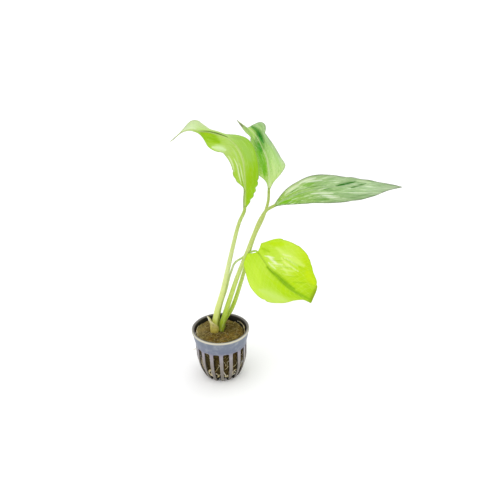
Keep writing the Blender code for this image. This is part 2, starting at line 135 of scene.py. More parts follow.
# A leaf's stations run along its midrib from base to tip. Each gives a place in
# millimetres (right, away, above the plug), the way the upper side faces, the
# widths of the left and right halves in millimetres, and how far each half is
# folded up from flat, in degrees. Left and right are as seen from above with
# the tip pointing away. A leaf's tones run along it too: a share of its length,
# then its colour at the left margin, inside the left half, inside the right
# half and at the right margin. Its marks are streaks: two ends, each a share of
# the length and a share of the width (negative on the left), then the streak's
# half width in millimetres, its colour and its strength. Its stalk's tones are
# shares of the stalk's length, the first and the last before those between.
# Its nicks are small cuts in the margin: a share of the length, the side and
# the depth in millimetres. Its lobes are how far the left and right halves reach
# back past the stalk, in millimetres. foot is where its stalk comes out of the
# plug, and stalk holds the stalk's points from there to the blade.
GREEN_STALK = [
    (0.0, "8C9C18"), (1.0, "98AE4C"), (0.06, "A0B82C"), (0.18, "B0CA3C"),
    (0.45, "C2D274"), (0.85, "B2C068"),
]
LEFT_LEAF = dict(
    name="left",
    slot="leaf_lime",
    stalk_tones=[
        (0.0, "BEB83C"), (1.0, "9CB44C"), (0.06, "C8CE60"), (0.16, "CEDA78"),
        (0.5, "CCD890"), (0.85, "B0C268"),
    ],
    foot=(-5.4, 2.0),
    stalk=[(-2.8, 2, 17), (3.6, 2, 39), (9.3, 1, 63), (13.9, 0, 82.5), (20.7, 0, 107)],
    foot_radius=2.7,
    neck_radius=1.3,
    lobes=(0, 0),
    stations=[
        ((25.5, 0, 119), (0.3, -0.85, 0.45), (0.9, 0.9), (10, 10)),
        ((26, -0.5, 128), (0.3, -0.85, 0.45), (0.9, 6), (15, 15)),
        ((26.5, -1, 137), (0.3, -0.85, 0.45), (1.2, 9.5), (15, 15)),
        ((26.5, -2, 149), (0.2, -0.9, 0.4), (9, 11.5), (12, 15)),
        ((26, -3, 162), (0.05, -0.85, 0.5), (10.5, 11.5), (10, 0)),
        ((22.5, -5, 174), (-0.1, -0.75, 0.65), (11.5, 12), (-5, -20)),
        ((16, -7, 183), (-0.1, -0.6, 0.8), (12, 10), (-10, -48)),
        ((7.5, -8, 188), (-0.1, -0.6, 0.8), (13.5, 9.5), (-12, -50)),
        ((0, -8, 190.5), (-0.1, -0.5, 0.85), (10.5, 9.5), (-25, -38)),
        ((-6.5, -8, 191.5), (-0.1, -0.5, 0.85), (2.5, 9), (-60, -5)),
        ((-13, -8, 193.5), (-0.1, -0.6, 0.8), (2, 7.5), (-60, 10)),
        ((-19.5, -7, 192), (-0.3, -0.6, 0.8), (1, 2), (-60, 10)),
        ((-31, -5, 182.5), (-0.5, -0.6, 0.7), (0.3, 0.3), (-60, 10)),
    ],
    tones=[
        (0.0, "9DC030", "A6C93F", "A0C63A", "8EC124"),
        (0.25, "A4C93C", "A8CC48", "9BC63C", "8EC124"),
        (0.42, "B4D468", "B0D25C", "9DC848", "93C23C"),
        (0.55, "BEDA7C", "B4D46C", "A4CA66", "9CBF5B"),
        # Painted light: from 0.66 to 0.75 the left half's deep yellow-green is the glow of light through
        # its hanging lobe, and from 0.75 to 0.90 the right half's pale tones are a painted sheen where that
        # half is seen glancing
        (0.66, "A2CB38", "A8CE48", "B4D07A", "B8CC8C"),
        (0.75, "94C020", "9EC931", "BCD88A", "C6D4A4"),
        (0.82, "B0CC70", "B8D478", "D2E7B1", "C8D8A8"),
        (0.90, "B8C0A0", "C0CDA4", "C4D2AC", "B8C0AB"),
        (1.0, "8F9380", "9A9E8C", "9A9E8C", "8F9380"),
    ],
    marks=[
        # The first two marks deepen the painted glow in the hanging lobe; the one from 0.80 to 0.92 adds to
        # the painted sheen on the right half
        ((0.75, -0.35), (0.63, -0.42), 3.4, "90BE14", 1.0),
        ((0.75, -0.15), (0.69, -0.20), 1.6, "A2C828", 0.8),
        ((0.77, -0.02), (0.58, 0.14), 0.9, "42640C", 1.0),
        ((0.66, -0.85), (0.55, -0.75), 1.9, "D4ECAC", 1.0),
        ((0.80, 0.1), (0.92, 0.5), 2.0, "DCEBC4", 0.6),
        ((0.46, 0.35), (0.36, 0.5), 3.0, "A4CC64", 0.7),
        ((0.41, -0.60), (0.20, -0.75), 0.5, "E8F2C8", 0.8),
        ((0.36, -0.35), (0.16, -0.5), 0.45, "E0EEBC", 0.7),
        ((0.47, -0.85), (0.30, -0.9), 0.5, "E8F2C8", 0.7),
        ((0.30, 0.45), (0.04, 0.5), 3.6, "9CC62C", 0.9),
        ((0.34, 0.8), (0.12, 0.9), 1.8, "96C228", 0.85),
        ((0.50, -0.08), (0.20, -0.05), 0.4, "D8E8A8", 0.6),
        ((0.34, -0.50), (0.14, -0.70), 0.4, "82A82C", 0.6),
        ((0.50, -0.30), (0.34, -0.45), 0.5, "C8E09C", 0.6),
        ((0.56, 0.30), (0.48, 0.75), 1.2, "98BC60", 0.6),
        ((0.95, 0.0), (1.0, 0.0), 1.0, "85857A", 0.9),
    ],
    midrib="C8DC8C",
    margin="93A070",
    margin_width=0.35,
    pale="C6E088",
    deep="86B428",
    vein="C6DE86",
    mottle=0.22,
    net=0.06,
    ruffle=0.45,
    nicks=[
        (0.07, 1, 1.1), (0.115, 1, 0.9), (0.155, 1, 1.3),
        (0.21, 1, 0.8), (0.25, -1, 0.8), (0.31, -1, 0.6),
    ],
)
BACK_LEAF = dict(
    name="back",
    slot="leaf_folded",
    stalk_tones=GREEN_STALK,
    foot=(2.0, 7.9),
    stalk=[
        (10.8, 8.5, 18.5), (19.6, 9, 44), (23.1, 9, 56), (29.4, 9, 79), (33.1, 10, 89),
        (40.4, 12, 104), (45.3, 14, 119),
    ],
    foot_radius=2.0,
    neck_radius=1.1,
    lobes=(0, 0),
    stations=[
        ((46, 15, 128), (0.1, -0.9, 0.3), (0.8, 0.8), (0, 0)),
        ((46.5, 16, 134), (0.1, -0.9, 0.3), (2.5, 3.5), (20, 0)),
        ((46.5, 17, 140.5), (0.1, -0.9, 0.3), (7.5, 9.8), (25, 5)),
        ((46, 17, 147), (0.1, -0.9, 0.3), (11, 14.2), (25, 8)),
        ((45, 18, 154.5), (0.1, -0.9, 0.3), (12, 11.2), (30, 10)),
        ((41.5, 20, 164.5), (0, -0.9, 0.4), (10.5, 9), (40, 10)),
        ((38, 20, 172.5), (0, -0.8, 0.5), (8.5, 8), (35, 0)),
        ((35, 20, 177.5), (0, -0.7, 0.6), (6.5, 11), (25, 0)),
        ((33, 19.6, 179.6), (0, -0.65, 0.65), (5.8, 6), (18, 0)),
        ((31, 19, 181.5), (0, -0.6, 0.7), (5, 1.5), (10, 0)),
        ((22, 18, 189.5), (0, -0.6, 0.7), (0.3, 0.3), (0, 0)),
    ],
    tones=[
        (0.0, "B8D45C", "BCD870", "C9DE7F", "C4DC74"),
        # Painted light: from 0.38 to 0.83 the dark inner left lane is painted shade inside the fold, and
        # from 0.18 on the pale, silvery right half is a painted sheen
        (0.18, "A6CC48", "9CC844", "C6E48C", "C9E490"),
        (0.38, "93C040", "86BB2C", "BCE088", "B7CDA7"),
        (0.54, "9CC850", "74A828", "A7CF77", "A2BC8E"),
        (0.66, "A6CE5C", "5C962A", "9FC878", "98B284"),
        (0.75, "ABD165", "4E8A22", "9AC470", "92AE80"),
        (0.83, "ABD165", "86B04A", "A2C67C", "92AE80"),
        (1.0, "7C7258", "7C7258", "7C7258", "7C7258"),
    ],
    marks=[
        # The first three marks are painted shade inside the fold; the fourth and fifth, near the right
        # margin, add to the painted sheen
        ((0.79, 0.50), (0.58, 0.30), 2.2, "1E7A00", 1.0),
        ((0.64, 0.20), (0.45, -0.4), 2.6, "46A000", 0.95),
        ((0.52, -0.45), (0.20, -0.42), 3.2, "78BC08", 0.95),
        ((0.70, 0.95), (0.55, 0.95), 0.9, "9FB89C", 0.85),
        ((0.68, 0.72), (0.52, 0.72), 1.0, "B4D49C", 0.8),
        ((0.53, 0.55), (0.25, 0.75), 1.4, "B0DA78", 0.6),
        ((0.36, 0.30), (0.18, 0.5), 1.0, "D6EEA4", 0.8),
        ((0.50, 0.08), (0.05, 0.05), 0.4, "E4F2BC", 0.8),
        ((0.82, 0.3), (0.68, -0.35), 2.2, "B4DA70", 0.9),
        ((0.90, -0.5), (1.0, 0.0), 1.0, "6E7048", 0.9),
    ],
    midrib="DCEBB0",
    margin="7A876C",
    margin_width=0.45,
    pale="D4EAA8",
    deep="78AC34",
    vein="DDF0C0",
    mottle=0.35,
    net=0.3,
    ruffle=0.25,
    nicks=[(0.30, -1, 0.7), (0.66, 1, 0.5)],
)
RIGHT_LEAF = dict(
    name="right",
    slot="leaf_marbled",
    stalk_tones=GREEN_STALK,
    foot=(0.7, 3.1),
    stalk=[
        (4.6, 3, 16), (9.1, 3, 30), (17.4, 2, 55), (25.9, 1, 77.5), (32.3, 1, 94.5),
        (39, 1, 110), (43.5, 1.2, 116.3),
    ],
    foot_radius=2.4,
    neck_radius=1.2,
    lobes=(0, 0),
    stations=[
        ((49.5, 2, 119.5), (-0.2, -0.45, 0.9), (0.9, 0.9), (5, 5)),
        ((57, 3, 123.5), (-0.2, -0.45, 0.9), (5.5, 6), (8, 8)),
        ((68, 5, 127.5), (-0.1, -0.4, 0.95), (10.5, 12.5), (8, 8)),
        ((83, 7, 130.5), (-0.05, -0.4, 0.95), (14, 18), (8, 8)),
        ((99.5, 10, 130.5), (0, -0.35, 0.97), (13.5, 20.5), (5, 8)),
        ((114.5, 12, 130), (0, -0.35, 0.97), (10.5, 18.5), (0, 5)),
        ((129.5, 14, 129), (0, -0.35, 0.97), (6.5, 13), (0, 0)),
        ((143.5, 16, 127), (0.05, -0.3, 0.97), (3.5, 6), (0, 0)),
        ((157, 18, 124.5), (0.1, -0.3, 0.97), (0.3, 0.3), (0, 0)),
    ],
    tones=[
        (0.0, "7CAC10", "88B818", "88B818", "7CAC10"),
        (0.10, "9CBC54", "98BC4C", "84BA18", "78AC14"),
        (0.22, "BCCE94", "98BE5C", "92BA54", "88AE50"),
        (0.40, "9AB480", "98BA78", "A0C080", "8EAA70"),
        (0.60, "88A472", "92B27A", "9CBC84", "8AA474"),
        (0.80, "92AC80", "A2BE90", "AAC498", "94AC82"),
        (0.93, "94A288", "A6B698", "A8BA98", "94A288"),
        (1.0, "7E7E74", "84847A", "84847A", "7E7E74"),
    ],
    marks=[
        ((0.49, -0.07), (0.64, -0.45), 1.3, "2A6E0C", 1.0),
        ((0.60, 0.12), (0.72, -0.30), 1.1, "2A6E0C", 0.95),
        ((0.39, 0.10), (0.48, -0.05), 0.9, "4C8430", 0.9),
        ((0.52, -0.95), (0.58, -0.92), 0.6, "4E6A42", 0.8),
        ((0.11, -0.55), (0.24, -0.74), 1.3, "EAF0D0", 0.65),
        ((0.24, -0.78), (0.36, -0.80), 1.0, "EAF0DA", 0.8),
        ((0.29, 0.25), (0.45, 0.38), 0.9, "E6F0D4", 0.85),
        ((0.39, 0.62), (0.49, 0.65), 0.9, "E0ECCE", 0.8),
        ((0.26, -0.50), (0.33, -0.45), 1.8, "7CB044", 0.8),
        ((0.30, 0.70), (0.40, 0.75), 1.1, "64963A", 0.8),
        ((0.16, 0.10), (0.26, 0.05), 0.8, "6EA83C", 0.7),
        ((0.03, 0.10), (0.12, 0.35), 1.6, "80BC0C", 0.95),
        ((0.54, 0.02), (0.60, -0.02), 0.8, "D4EABC", 0.7),
        ((0.66, -0.60), (0.76, -0.55), 1.2, "D8EABC", 0.6),
        ((0.78, 0.30), (0.90, 0.10), 1.0, "9CB48C", 0.6),
        ((0.20, -0.30), (0.42, -0.20), 0.4, "547E34", 0.8),
        ((0.14, -0.35), (0.22, -0.50), 0.5, "549020", 0.8),
        ((0.35, 0.15), (0.52, 0.22), 0.4, "547E34", 0.7),
        ((0.24, 0.45), (0.40, 0.50), 0.45, "64903C", 0.7),
        ((0.44, 0.46), (0.60, 0.50), 0.5, "6E9454", 0.7),
        ((0.55, 0.80), (0.75, 0.70), 0.7, "769460", 0.7),
        ((0.36, 0.50), (0.44, 0.52), 0.6, "F2F6E8", 0.8),
        ((0.28, -0.66), (0.40, -0.58), 0.6, "EAF0DC", 0.7),
        ((0.46, -0.62), (0.56, -0.70), 0.6, "84AC6C", 0.6),
    ],
    midrib="B4CC98",
    margin="5E6456",
    margin_width=0.9,
    pale="DCE8C8",
    deep="668E4C",
    vein="BCD0A4",
    mottle=0.6,
    net=0.1,
    ruffle=0.3,
    nicks=[],
)
LOW_LEAF = dict(
    name="low",
    slot="leaf_yellow_green",
    stalk_tones=[(0.0, "A8B03C"), (1.0, "A8CC30"), (0.3, "C4D470"), (0.7, "C0CE98")],
    foot=(-2.2, 6.9),
    stalk=[(2.0, 5.6, 25), (6.5, 5, 39), (11.5, 5, 56.7), (15.9, 5, 66.3), (21.3, 5, 70), (28, 4, 75.5)],
    foot_radius=1.2,
    neck_radius=0.8,
    lobes=(4.0, 3.5),
    stations=[
        ((34.5, 0, 78), (0.1, -0.75, 0.65), (7, 8), (10, 10)),
        ((36, -1.5, 76.4), (0.12, -0.73, 0.67), (18, 14), (12, 8)),
        ((39.5, -5, 72.5), (0.15, -0.7, 0.7), (26, 19), (15, 5)),
        ((45.5, -9, 65), (0.2, -0.65, 0.75), (31, 24), (15, 0)),
        ((50.5, -12, 60.5), (0.2, -0.6, 0.75), (32, 25), (12, 0)),
        ((56, -15, 55), (0.25, -0.6, 0.75), (31.5, 22), (10, -5)),
        ((61.5, -17, 50), (0.25, -0.6, 0.75), (30, 14.5), (8, -10)),
        ((67, -19, 46.5), (0.3, -0.6, 0.75), (26.5, 6.5), (8, -30)),
        ((72, -19.7, 42.8), (0.3, -0.6, 0.75), (21, 1.7), (12, -45)),
        ((75.5, -20, 40), (0.3, -0.6, 0.75), (16, 0.8), (15, -60)),
        ((77.3, -20, 38.6), (0.3, -0.6, 0.75), (11.5, 0.6), (15, -60)),
        ((78, -20, 38), (0.3, -0.6, 0.75), (1, 0.5), (15, -60)),
    ],
    tones=[
        (0.0, "BEDF3C", "C0E240", "BCE23C", "BAE034"),
        (0.14, "C8E84C", "C2E44A", "C0E448", "C2E646"),
        (0.30, "CDEA50", "C8E65C", "BEE242", "CAEA57"),
        (0.45, "C8E438", "C4E44C", "B6DC38", "CAE860"),
        (0.60, "C0DF20", "C0E038", "B4DA2E", "C8E468"),
        (0.78, "BCDC14", "B8DC20", "AED424", "BEDC50"),
        (0.93, "B4D41C", "ACD00C", "A4CB0E", "A8CC2C"),
        (1.0, "7E9030", "7E9030", "7E9030", "7E9030"),
    ],
    marks=[
        # Painted highlights: the next two marks, the glossy shine near the base
        ((0.13, -0.20), (0.30, -0.24), 0.9, "F4FCD4", 0.9),
        ((0.20, -0.08), (0.34, -0.12), 0.6, "EEFABE", 0.8),
        ((0.12, -0.60), (0.60, -0.76), 2.6, "E0F684", 0.6),
        ((0.26, -0.45), (0.46, -0.40), 1.0, "E8F890", 0.7),
        ((0.34, -0.30), (0.50, -0.26), 0.8, "E2F68C", 0.7),
        # Painted shade: the next two marks darken the groove along the midrib
        ((0.24, 0.05), (0.70, -0.08), 1.8, "84B400", 1.0),
        ((0.45, 0.04), (0.97, -0.14), 1.3, "8CBC00", 0.9),
        ((0.69, -0.75), (0.90, -0.80), 3.0, "CCE600", 0.8),
        ((0.39, 0.80), (0.70, 0.80), 3.0, "D0EA80", 0.6),
        ((0.04, -0.75), (0.14, -0.85), 2.0, "C0E420", 0.7),
        # Painted highlights: the next three pale marks along the veins
        ((0.30, -0.50), (0.52, -0.62), 0.5, "F2FCC0", 0.7),
        ((0.36, -0.42), (0.60, -0.54), 0.5, "EEFAB0", 0.7),
        ((0.22, -0.54), (0.38, -0.66), 0.5, "F2FCC0", 0.6),
        ((0.40, -0.56), (0.62, -0.68), 0.5, "A8D018", 0.6),
        ((0.28, -0.46), (0.44, -0.56), 0.45, "A8D018", 0.6),
        ((0.48, -0.62), (0.72, -0.78), 0.5, "B0D410", 0.6),
        ((0.12, 0.48), (0.33, 0.62), 2.2, "CCEC50", 0.6),
        ((0.02, -0.40), (0.10, -0.35), 1.2, "9CC410", 0.7),
        ((0.30, 0.30), (0.70, 0.30), 1.0, "BCE030", 0.6),
        # Painted highlights: the next five pale marks along the veins near the midrib
        ((0.10, -0.12), (0.20, -0.30), 0.5, "F4FCD4", 0.8),
        ((0.24, -0.14), (0.36, -0.34), 0.5, "EEFABE", 0.8),
        ((0.30, -0.16), (0.44, -0.40), 0.5, "EAF8A0", 0.7),
        ((0.38, -0.20), (0.54, -0.46), 0.6, "E4F690", 0.7),
        ((0.44, -0.16), (0.60, -0.36), 0.5, "E0F488", 0.6),
        ((0.20, -0.20), (0.32, -0.42), 0.4, "98C010", 0.6),
        ((0.34, -0.22), (0.48, -0.46), 0.4, "98C010", 0.6),
        ((0.50, -0.20), (0.66, -0.46), 0.5, "A2CC08", 0.6),
        ((0.62, -0.20), (0.80, -0.50), 0.6, "98C400", 0.6),
    ],
    midrib="8FB80A",
    margin="A8C030",
    margin_width=0.3,
    pale="DCF270",
    deep="A8D010",
    vein="D4EC6C",
    mottle=0.16,
    net=0.08,
    ruffle=0.15,
    nicks=[(0.10, -1, 0.6), (0.52, 1, 0.7)],
)
LEAVES = [LEFT_LEAF, BACK_LEAF, RIGHT_LEAF, LOW_LEAF]

# Each root runs out under the plug and up behind the ribs. start is the slot it
# runs out behind, drift how many slots further round it ends, rise how far up
# the slots it climbs as a share of their height, and reach how far past the
# ribs its tip comes out, in radii of the root.
ROOTS = [
    dict(start=0, drift=0.6, rise=0.75, reach=None),
    dict(start=2, drift=-0.5, rise=0.5, reach=None),
    dict(start=4, drift=0.7, rise=0.82, reach=None),
    dict(start=6, drift=-0.4, rise=0.6, reach=None),
    dict(start=8, drift=0.0, rise=0.80, reach=7.0),
    dict(start=10, drift=0.0, rise=0.22, reach=2.5),
    dict(start=12, drift=-0.5, rise=0.35, reach=None),
    dict(start=13, drift=0.0, rise=0.2, reach=2.0),
]

# Thin roots that curl in the slots: where round the pot in degrees, height, the
# curl's radius, its first direction and sweep in degrees, and the root's radius,
# lengths in millimetres
ROOT_CURLS = [
    (243, 9.0, 4.4, 50, 250, 0.72),
    (250, 7.2, 2.6, -60, 160, 0.55),
    (279, 9.0, 3.2, 150, 170, 0.50),
    (284, 7.4, 2.4, 200, 200, 0.45),
    (306, 8.6, 3.0, 110, -200, 0.55),
    (205, 9.0, 2.6, 20, 230, 0.34),
    (60, 8.5, 2.8, 40, 240, 0.40),
    (120, 9.0, 2.6, 180, -230, 0.36),
]

# Thin roots that loop over the plug's top beside the wall: first and last
# direction in degrees, distance from the wall and rise in millimetres
TOP_LOOPS = [(-14, 26, 1.0, 2.4), (12, 48, 0.8, 1.8), (150, 186, 0.9, 1.8), (168, 204, 1.6, 1.2)]


# Colours and materials


def hex_colour(text):
    """An sRGB hex colour as linear red, green and blue."""
    linear = []
    for k in (0, 2, 4):
        value = int(text[k : k + 2], 16) / 255
        linear.append(value / 12.92 if value <= 0.04045 else ((value + 0.055) / 1.055) ** 2.4)
    return tuple(linear)


def rgba(colour):
    """A colour with full cover, for a shader's socket."""
    return (*(hex_colour(colour) if isinstance(colour, str) else colour), 1.0)


def new_material(name):
    """A material with one Principled shader. Returns it, its node tree and the shader."""
    made = bpy.data.materials.new(name)
    made.use_nodes = True
    return made, made.node_tree, made.node_tree.nodes["Principled BSDF"]


def add(tree, kind, inputs=None, ramp=(), **settings):
    """Add a shader node with its settings, values and links. Returns its outputs."""
    made = tree.nodes.new("ShaderNode" + kind)
    for key, value in settings.items():
        setattr(made, key, value)
    for key, value in (inputs or {}).items():
        if isinstance(value, bpy.types.NodeSocket):
            tree.links.new(value, made.inputs[key])
        else:
            made.inputs[key].default_value = value
    for k, (position, colour) in enumerate(ramp):
        stops = made.color_ramp.elements
        stop = stops[k] if k < 2 else stops.new(position)
        stop.position = position
        stop.color = rgba(colour)
    return made.outputs


def paint(tree, base, coats):
    """Lay coats over a base colour in turn, each by its share of cover."""
    for share, coat in coats:
        over = coat if isinstance(coat, bpy.types.NodeSocket) else rgba(coat)
        base = add(tree, "MixRGB", {"Fac": share, "Color1": base, "Color2": over})[0]
    return base


def flesh(weight, *reach):
    """Shader values for soft tissue: the light let in, and each colour's reach in millimetres."""
    reach = tuple(distance * MM for distance in reach)
    return {"Subsurface Weight": weight, "Subsurface Radius": reach, "Subsurface Scale": 1.0}


def settle(tree, shader, values):
    """Set or link the shader's sockets by name."""
    for key, value in values.items():
        if isinstance(value, bpy.types.NodeSocket):
            tree.links.new(value, shader.inputs[key])
        else:
            shader.inputs[key].default_value = value


# Curves and meshes


def unit(vectors):
    return vectors / np.linalg.norm(vectors, axis=-1, keepdims=True)


def length_knots(points):
    """Each point's share of the way along the line through all the points."""
    steps = np.linalg.norm(np.diff(points, axis=0), axis=1)
    reached = np.concatenate([[0.0], np.cumsum(steps)])
    return reached / reached[-1]


def through(values, knots, shares):
    """Read a smooth curve through values, which stand at the knots, at each share."""
    values = np.asarray(values, float)
    flat = values.reshape(len(values), -1)
    knots = np.asarray(knots, float)
    shares = np.asarray(shares, float)
    spans = np.diff(knots)[:, None]
    rises = np.diff(flat, axis=0) / spans
    inner = (rises[:-1] * spans[1:] + rises[1:] * spans[:-1]) / (spans[:-1] + spans[1:])
    slopes = np.concatenate([rises[:1], inner, rises[-1:]])
    i = np.clip(np.searchsorted(knots, shares, side="left") - 1, 0, len(spans) - 1)
    span = spans[i]
    t = ((shares - knots[i]) / spans[i, 0])[:, None]
    start = flat[i] * (2 * t**3 - 3 * t**2 + 1) + slopes[i] * span * (t**3 - 2 * t**2 + t)
    end = flat[i + 1] * (3 * t**2 - 2 * t**3) + slopes[i + 1] * span * (t**3 - t**2)
    return (start + end).reshape(len(shares), *values.shape[1:])


def bell(offset, width):
    """1 at no offset, fading to almost nothing at twice the width."""
    return np.exp(-((offset / width) ** 2))


def noise_at(points, grain, seed):
    """Smooth noise from -1 to 1 at each point, with lumps of about the grain's size."""
    shift = Vector((seed, seed * 1.7, seed * 2.3))
    flat = np.asarray(points, float).reshape(-1, 3) / grain
    values = [noise.noise(Vector(point) + shift) for point in flat]
    return np.array(values).reshape(np.shape(points)[:-1])


def mesh_piece(name, points, faces, material, fields=None):
    """A mesh object on the plant's root body, shaded smooth. Fields are kept as attributes."""
    corners = np.concatenate([np.asarray(face) for face in faces])
    used, places = np.unique(corners, return_inverse=True)
    sizes = np.cumsum([len(face) for face in faces])[:-1]
    packed = [part.tolist() for part in np.split(places.ravel(), sizes)]
    mesh = bpy.data.meshes.new(name)
    mesh.from_pydata(points[used].tolist(), [], packed)
    for field, values in (fields or {}).items():
        made = mesh.attributes.new(field, "FLOAT_VECTOR", "POINT")
        made.data.foreach_set("vector", values[used].astype(np.float32).ravel())
    mesh.materials.append(material)
    mesh.shade_smooth()
    piece = bpy.data.objects.new(name, mesh)
    bpy.context.scene.collection.objects.link(piece)
    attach(piece, "root")
    return piece


def shell_faces(rows, columns, solid, closed):
    """Faces of a skin with two sides. solid says which cells of its grid aren't open."""
    side = rows * columns
    faces = []
    wide = columns if closed else columns - 1
    for i in range(rows - 1):
        for j in range(wide):
            if not solid[i, j]:
                continue
            a = i * columns + j
            b = i * columns + (j + 1) % columns
            c = b + columns
            d = a + columns
            faces.append((a, b, c, d))
            faces.append((side + d, side + c, side + b, side + a))
            before = (j - 1) % wide if closed else j - 1
            after = (j + 1) % wide if closed else j + 1
            if i == 0 or not solid[i - 1, j]:
                faces.append((b, a, side + a, side + b))
            if i == rows - 2 or not solid[i + 1, j]:
                faces.append((d, c, side + c, side + d))
            if before < 0 or not solid[i, before]:
                faces.append((a, d, side + d, side + a))
            if after >= wide or not solid[i, after]:
                faces.append((c, b, side + b, side + c))
    return faces


def shell(name, outer, inner, material, fields, solid=None, closed=False):
    """A thin skin between two grids of points, open where solid is False.

    The third value of each field is set to 1 on the inner side.
    """
    rows, columns = outer.shape[:2]
    if solid is None:
        solid = np.ones((rows - 1, columns if closed else columns - 1), bool)
    points = np.concatenate([outer.reshape(-1, 3), inner.reshape(-1, 3)])
    both = {}
    for field, values in fields.items():
        flat = values.reshape(-1, 3)
        under = flat.copy()
        under[:, 2] = 1.0
        both[field] = np.concatenate([flat, under])
    faces = shell_faces(rows, columns, solid, closed)
    return mesh_piece(name, points, faces, material, both)


def rings_along(path, radii, section):
    """Rings of points square to a path. section is each side's share of the radius."""
    ahead = unit(np.gradient(path, axis=0))
    across = np.empty_like(path)
    across[0] = unit(np.cross(ahead[0], (0.31, 0.95, 0.05)))
    for k in range(1, len(path)):
        across[k] = unit(across[k - 1] - ahead[k] * np.dot(across[k - 1], ahead[k]))
    up = np.cross(ahead, across)
    angles = np.linspace(0, 2 * math.pi, section.shape[-1], endpoint=False)
    reach = np.asarray(radii)[:, None] * section
    offset = across[:, None] * np.cos(angles)[:, None] + up[:, None] * np.sin(angles)[:, None]
    return path[:, None] + offset * reach[..., None]


def tube_piece(name, tubes, material, field=None):
    """One mesh of closed tubes, each a grid of rings. The field runs along and round each."""
    points, faces, values = [], [], []
    first = 0
    for number, rings in enumerate(tubes):
        rows, sides = rings.shape[:2]
        for i in range(rows - 1):
            for j in range(sides):
                a = first + i * sides + j
                b = first + i * sides + (j + 1) % sides
                faces.append((a, b, b + sides, a + sides))
        faces.append(tuple(first + j for j in reversed(range(sides))))
        faces.append(tuple(first + (rows - 1) * sides + j for j in range(sides)))
        points.append(rings.reshape(-1, 3))
        shares = (np.linspace(0, 1, rows), np.linspace(0, 1, sides, endpoint=False), [number % 17 / 17])
        values.append(np.stack(np.meshgrid(*shares, indexing="ij"), -1).reshape(-1, 3))
        first += rows * sides
    fields = {field: np.concatenate(values)} if field else None
    return mesh_piece(name, np.concatenate(points), faces, material, fields)


def on_circle(turns, radius, heights):
    """Points at each direction round the pot's axis, at a radius and a height."""
    return np.stack([np.cos(turns) * radius, np.sin(turns) * radius, heights + 0 * turns], -1)


# Net pot


def pot_radius(height):
    """Outer radius of the pot's wall, in straight stretches down to the waist and an arc below."""
    under_lip = RIM_RADIUS - LIP_OVERHANG
    heights = [FLANK_HEIGHT, WAIST_HEIGHT, POT_HEIGHT - NECK_DROP, POT_HEIGHT - LIP_HEIGHT]
    radii = [BODY_RADIUS, BODY_RADIUS + WAIST_SWELL, under_lip - NECK_TAPER, under_lip]
    height = np.asarray(height, float)
    upper = np.interp(height, heights, radii)
    inset = BODY_RADIUS - BASE_RADIUS
    arc = (FLANK_HEIGHT**2 + inset**2) / (2 * inset)
    drop = FLANK_HEIGHT - np.clip(height, 0, FLANK_HEIGHT)
    lower = BODY_RADIUS - arc + np.sqrt(arc**2 - drop**2)
    return np.where(height > FLANK_HEIGHT, upper, lower)


def moulded_polypropylene(settings):
    """Injection-moulded polypropylene, satin from the mould's fine spark-eroded grain.

    The grain scatters the light into a soft sheen. The lip is painted dark as
    shade, with a painted highlight along its outer front edge; water has left a
    faint film of lime; silt darkens the lower part; and the inside below the rim
    is painted near black, partly as painted shade and partly as wet staining.
    """
    made, tree, shader = new_material("Moulded polypropylene")
    place = add(tree, "TexCoord")["Object"]
    parts = add(tree, "SeparateXYZ", {0: place})
    height = parts["Z"]
    field = add(tree, "Attribute", attribute_name="pot_wall")["Vector"]
    inside = add(tree, "SeparateXYZ", {0: field})["Z"]
    ramp = [(0.0, "6E6862"), (0.45, "8E8682"), (0.66, "908A94")]
    ramp += [(0.74, tuple(settings.colour)), (0.94, "6E7787")]
    share = add(tree, "MapRange", {0: height, 1: 0.0, 2: POT_HEIGHT})[0]
    body = add(tree, "ValToRGB", {0: share}, ramp=ramp)[0]
    film = {"Vector": place, "Scale": 1 / (5 * MM), "Detail": 5.0, "Roughness": 0.65}
    film = add(tree, "TexNoise", film)[0]
    film = add(tree, "MapRange", {0: film, 1: 0.48, 2: 0.72, 3: 0.0, 4: settings.lime})[0]
    silt = add(tree, "TexNoise", {"Vector": place, "Scale": 1 / (2.5 * MM), "Detail": 4.0})[0]
    low = add(tree, "MapRange", {0: height, 1: 30 * MM, 2: 2 * MM, 3: 0.0, 4: 0.75})[0]
    silt = add(tree, "Math", {0: silt, 1: low}, operation="MULTIPLY")[0]
    # Painted highlight and shade on the lip: its outer edge is painted cream towards the front, and the
    # rest of the lip is painted dark grey as shade
    front = add(tree, "MapRange", {0: parts["Y"], 1: 6 * MM, 2: -16 * MM, 3: 0.0, 4: 1.0})[0]
    flat = add(tree, "VectorMath", {0: place, 1: (1.0, 1.0, 0.0)}, operation="MULTIPLY")[0]
    away = add(tree, "VectorMath", {0: flat}, operation="LENGTH")["Value"]
    highlight_edge = add(tree, "MapRange", {0: away, 1: RIM_RADIUS - 1.2 * MM, 2: RIM_RADIUS - 0.7 * MM})[0]
    front = add(tree, "Math", {0: front, 1: highlight_edge}, operation="MULTIPLY")[0]
    lip = add(tree, "MapRange", {0: height, 1: POT_HEIGHT - LIP_HEIGHT, 2: POT_HEIGHT - 0.9 * MM})[0]
    lip_shade_and_highlight = paint(tree, rgba("5E5A54"), [(front, "C8C3B0")])
    # Painted shade, with some wet staining: the inside wall below the rim is painted near black
    below_rim = add(tree, "MapRange", {0: height, 1: POT_HEIGHT - 0.4 * MM, 2: POT_HEIGHT - 1.2 * MM})[0]
    inner = add(tree, "Math", {0: inside, 1: below_rim}, operation="MULTIPLY")[0]
    colour = paint(tree, body, [(film, "C9CCC6"), (silt, "5A5238"), (lip, lip_shade_and_highlight), (inner, "1E1D18")])
    grain = add(tree, "TexNoise", {"Vector": place, "Scale": 1 / (0.35 * MM), "Detail": 3.0})[0]
    bump = add(tree, "Bump", {"Height": grain, "Strength": 0.18, "Distance": 0.1 * MM})[0]
    rough = add(tree, "MapRange", {0: film, 1: 0.0, 2: 0.5, 3: settings.roughness, 4: 0.7})[0]
    settle(tree, shader, {"Base Color": colour, "Roughness": rough, "Normal": bump, "IOR": 1.49})
    return made


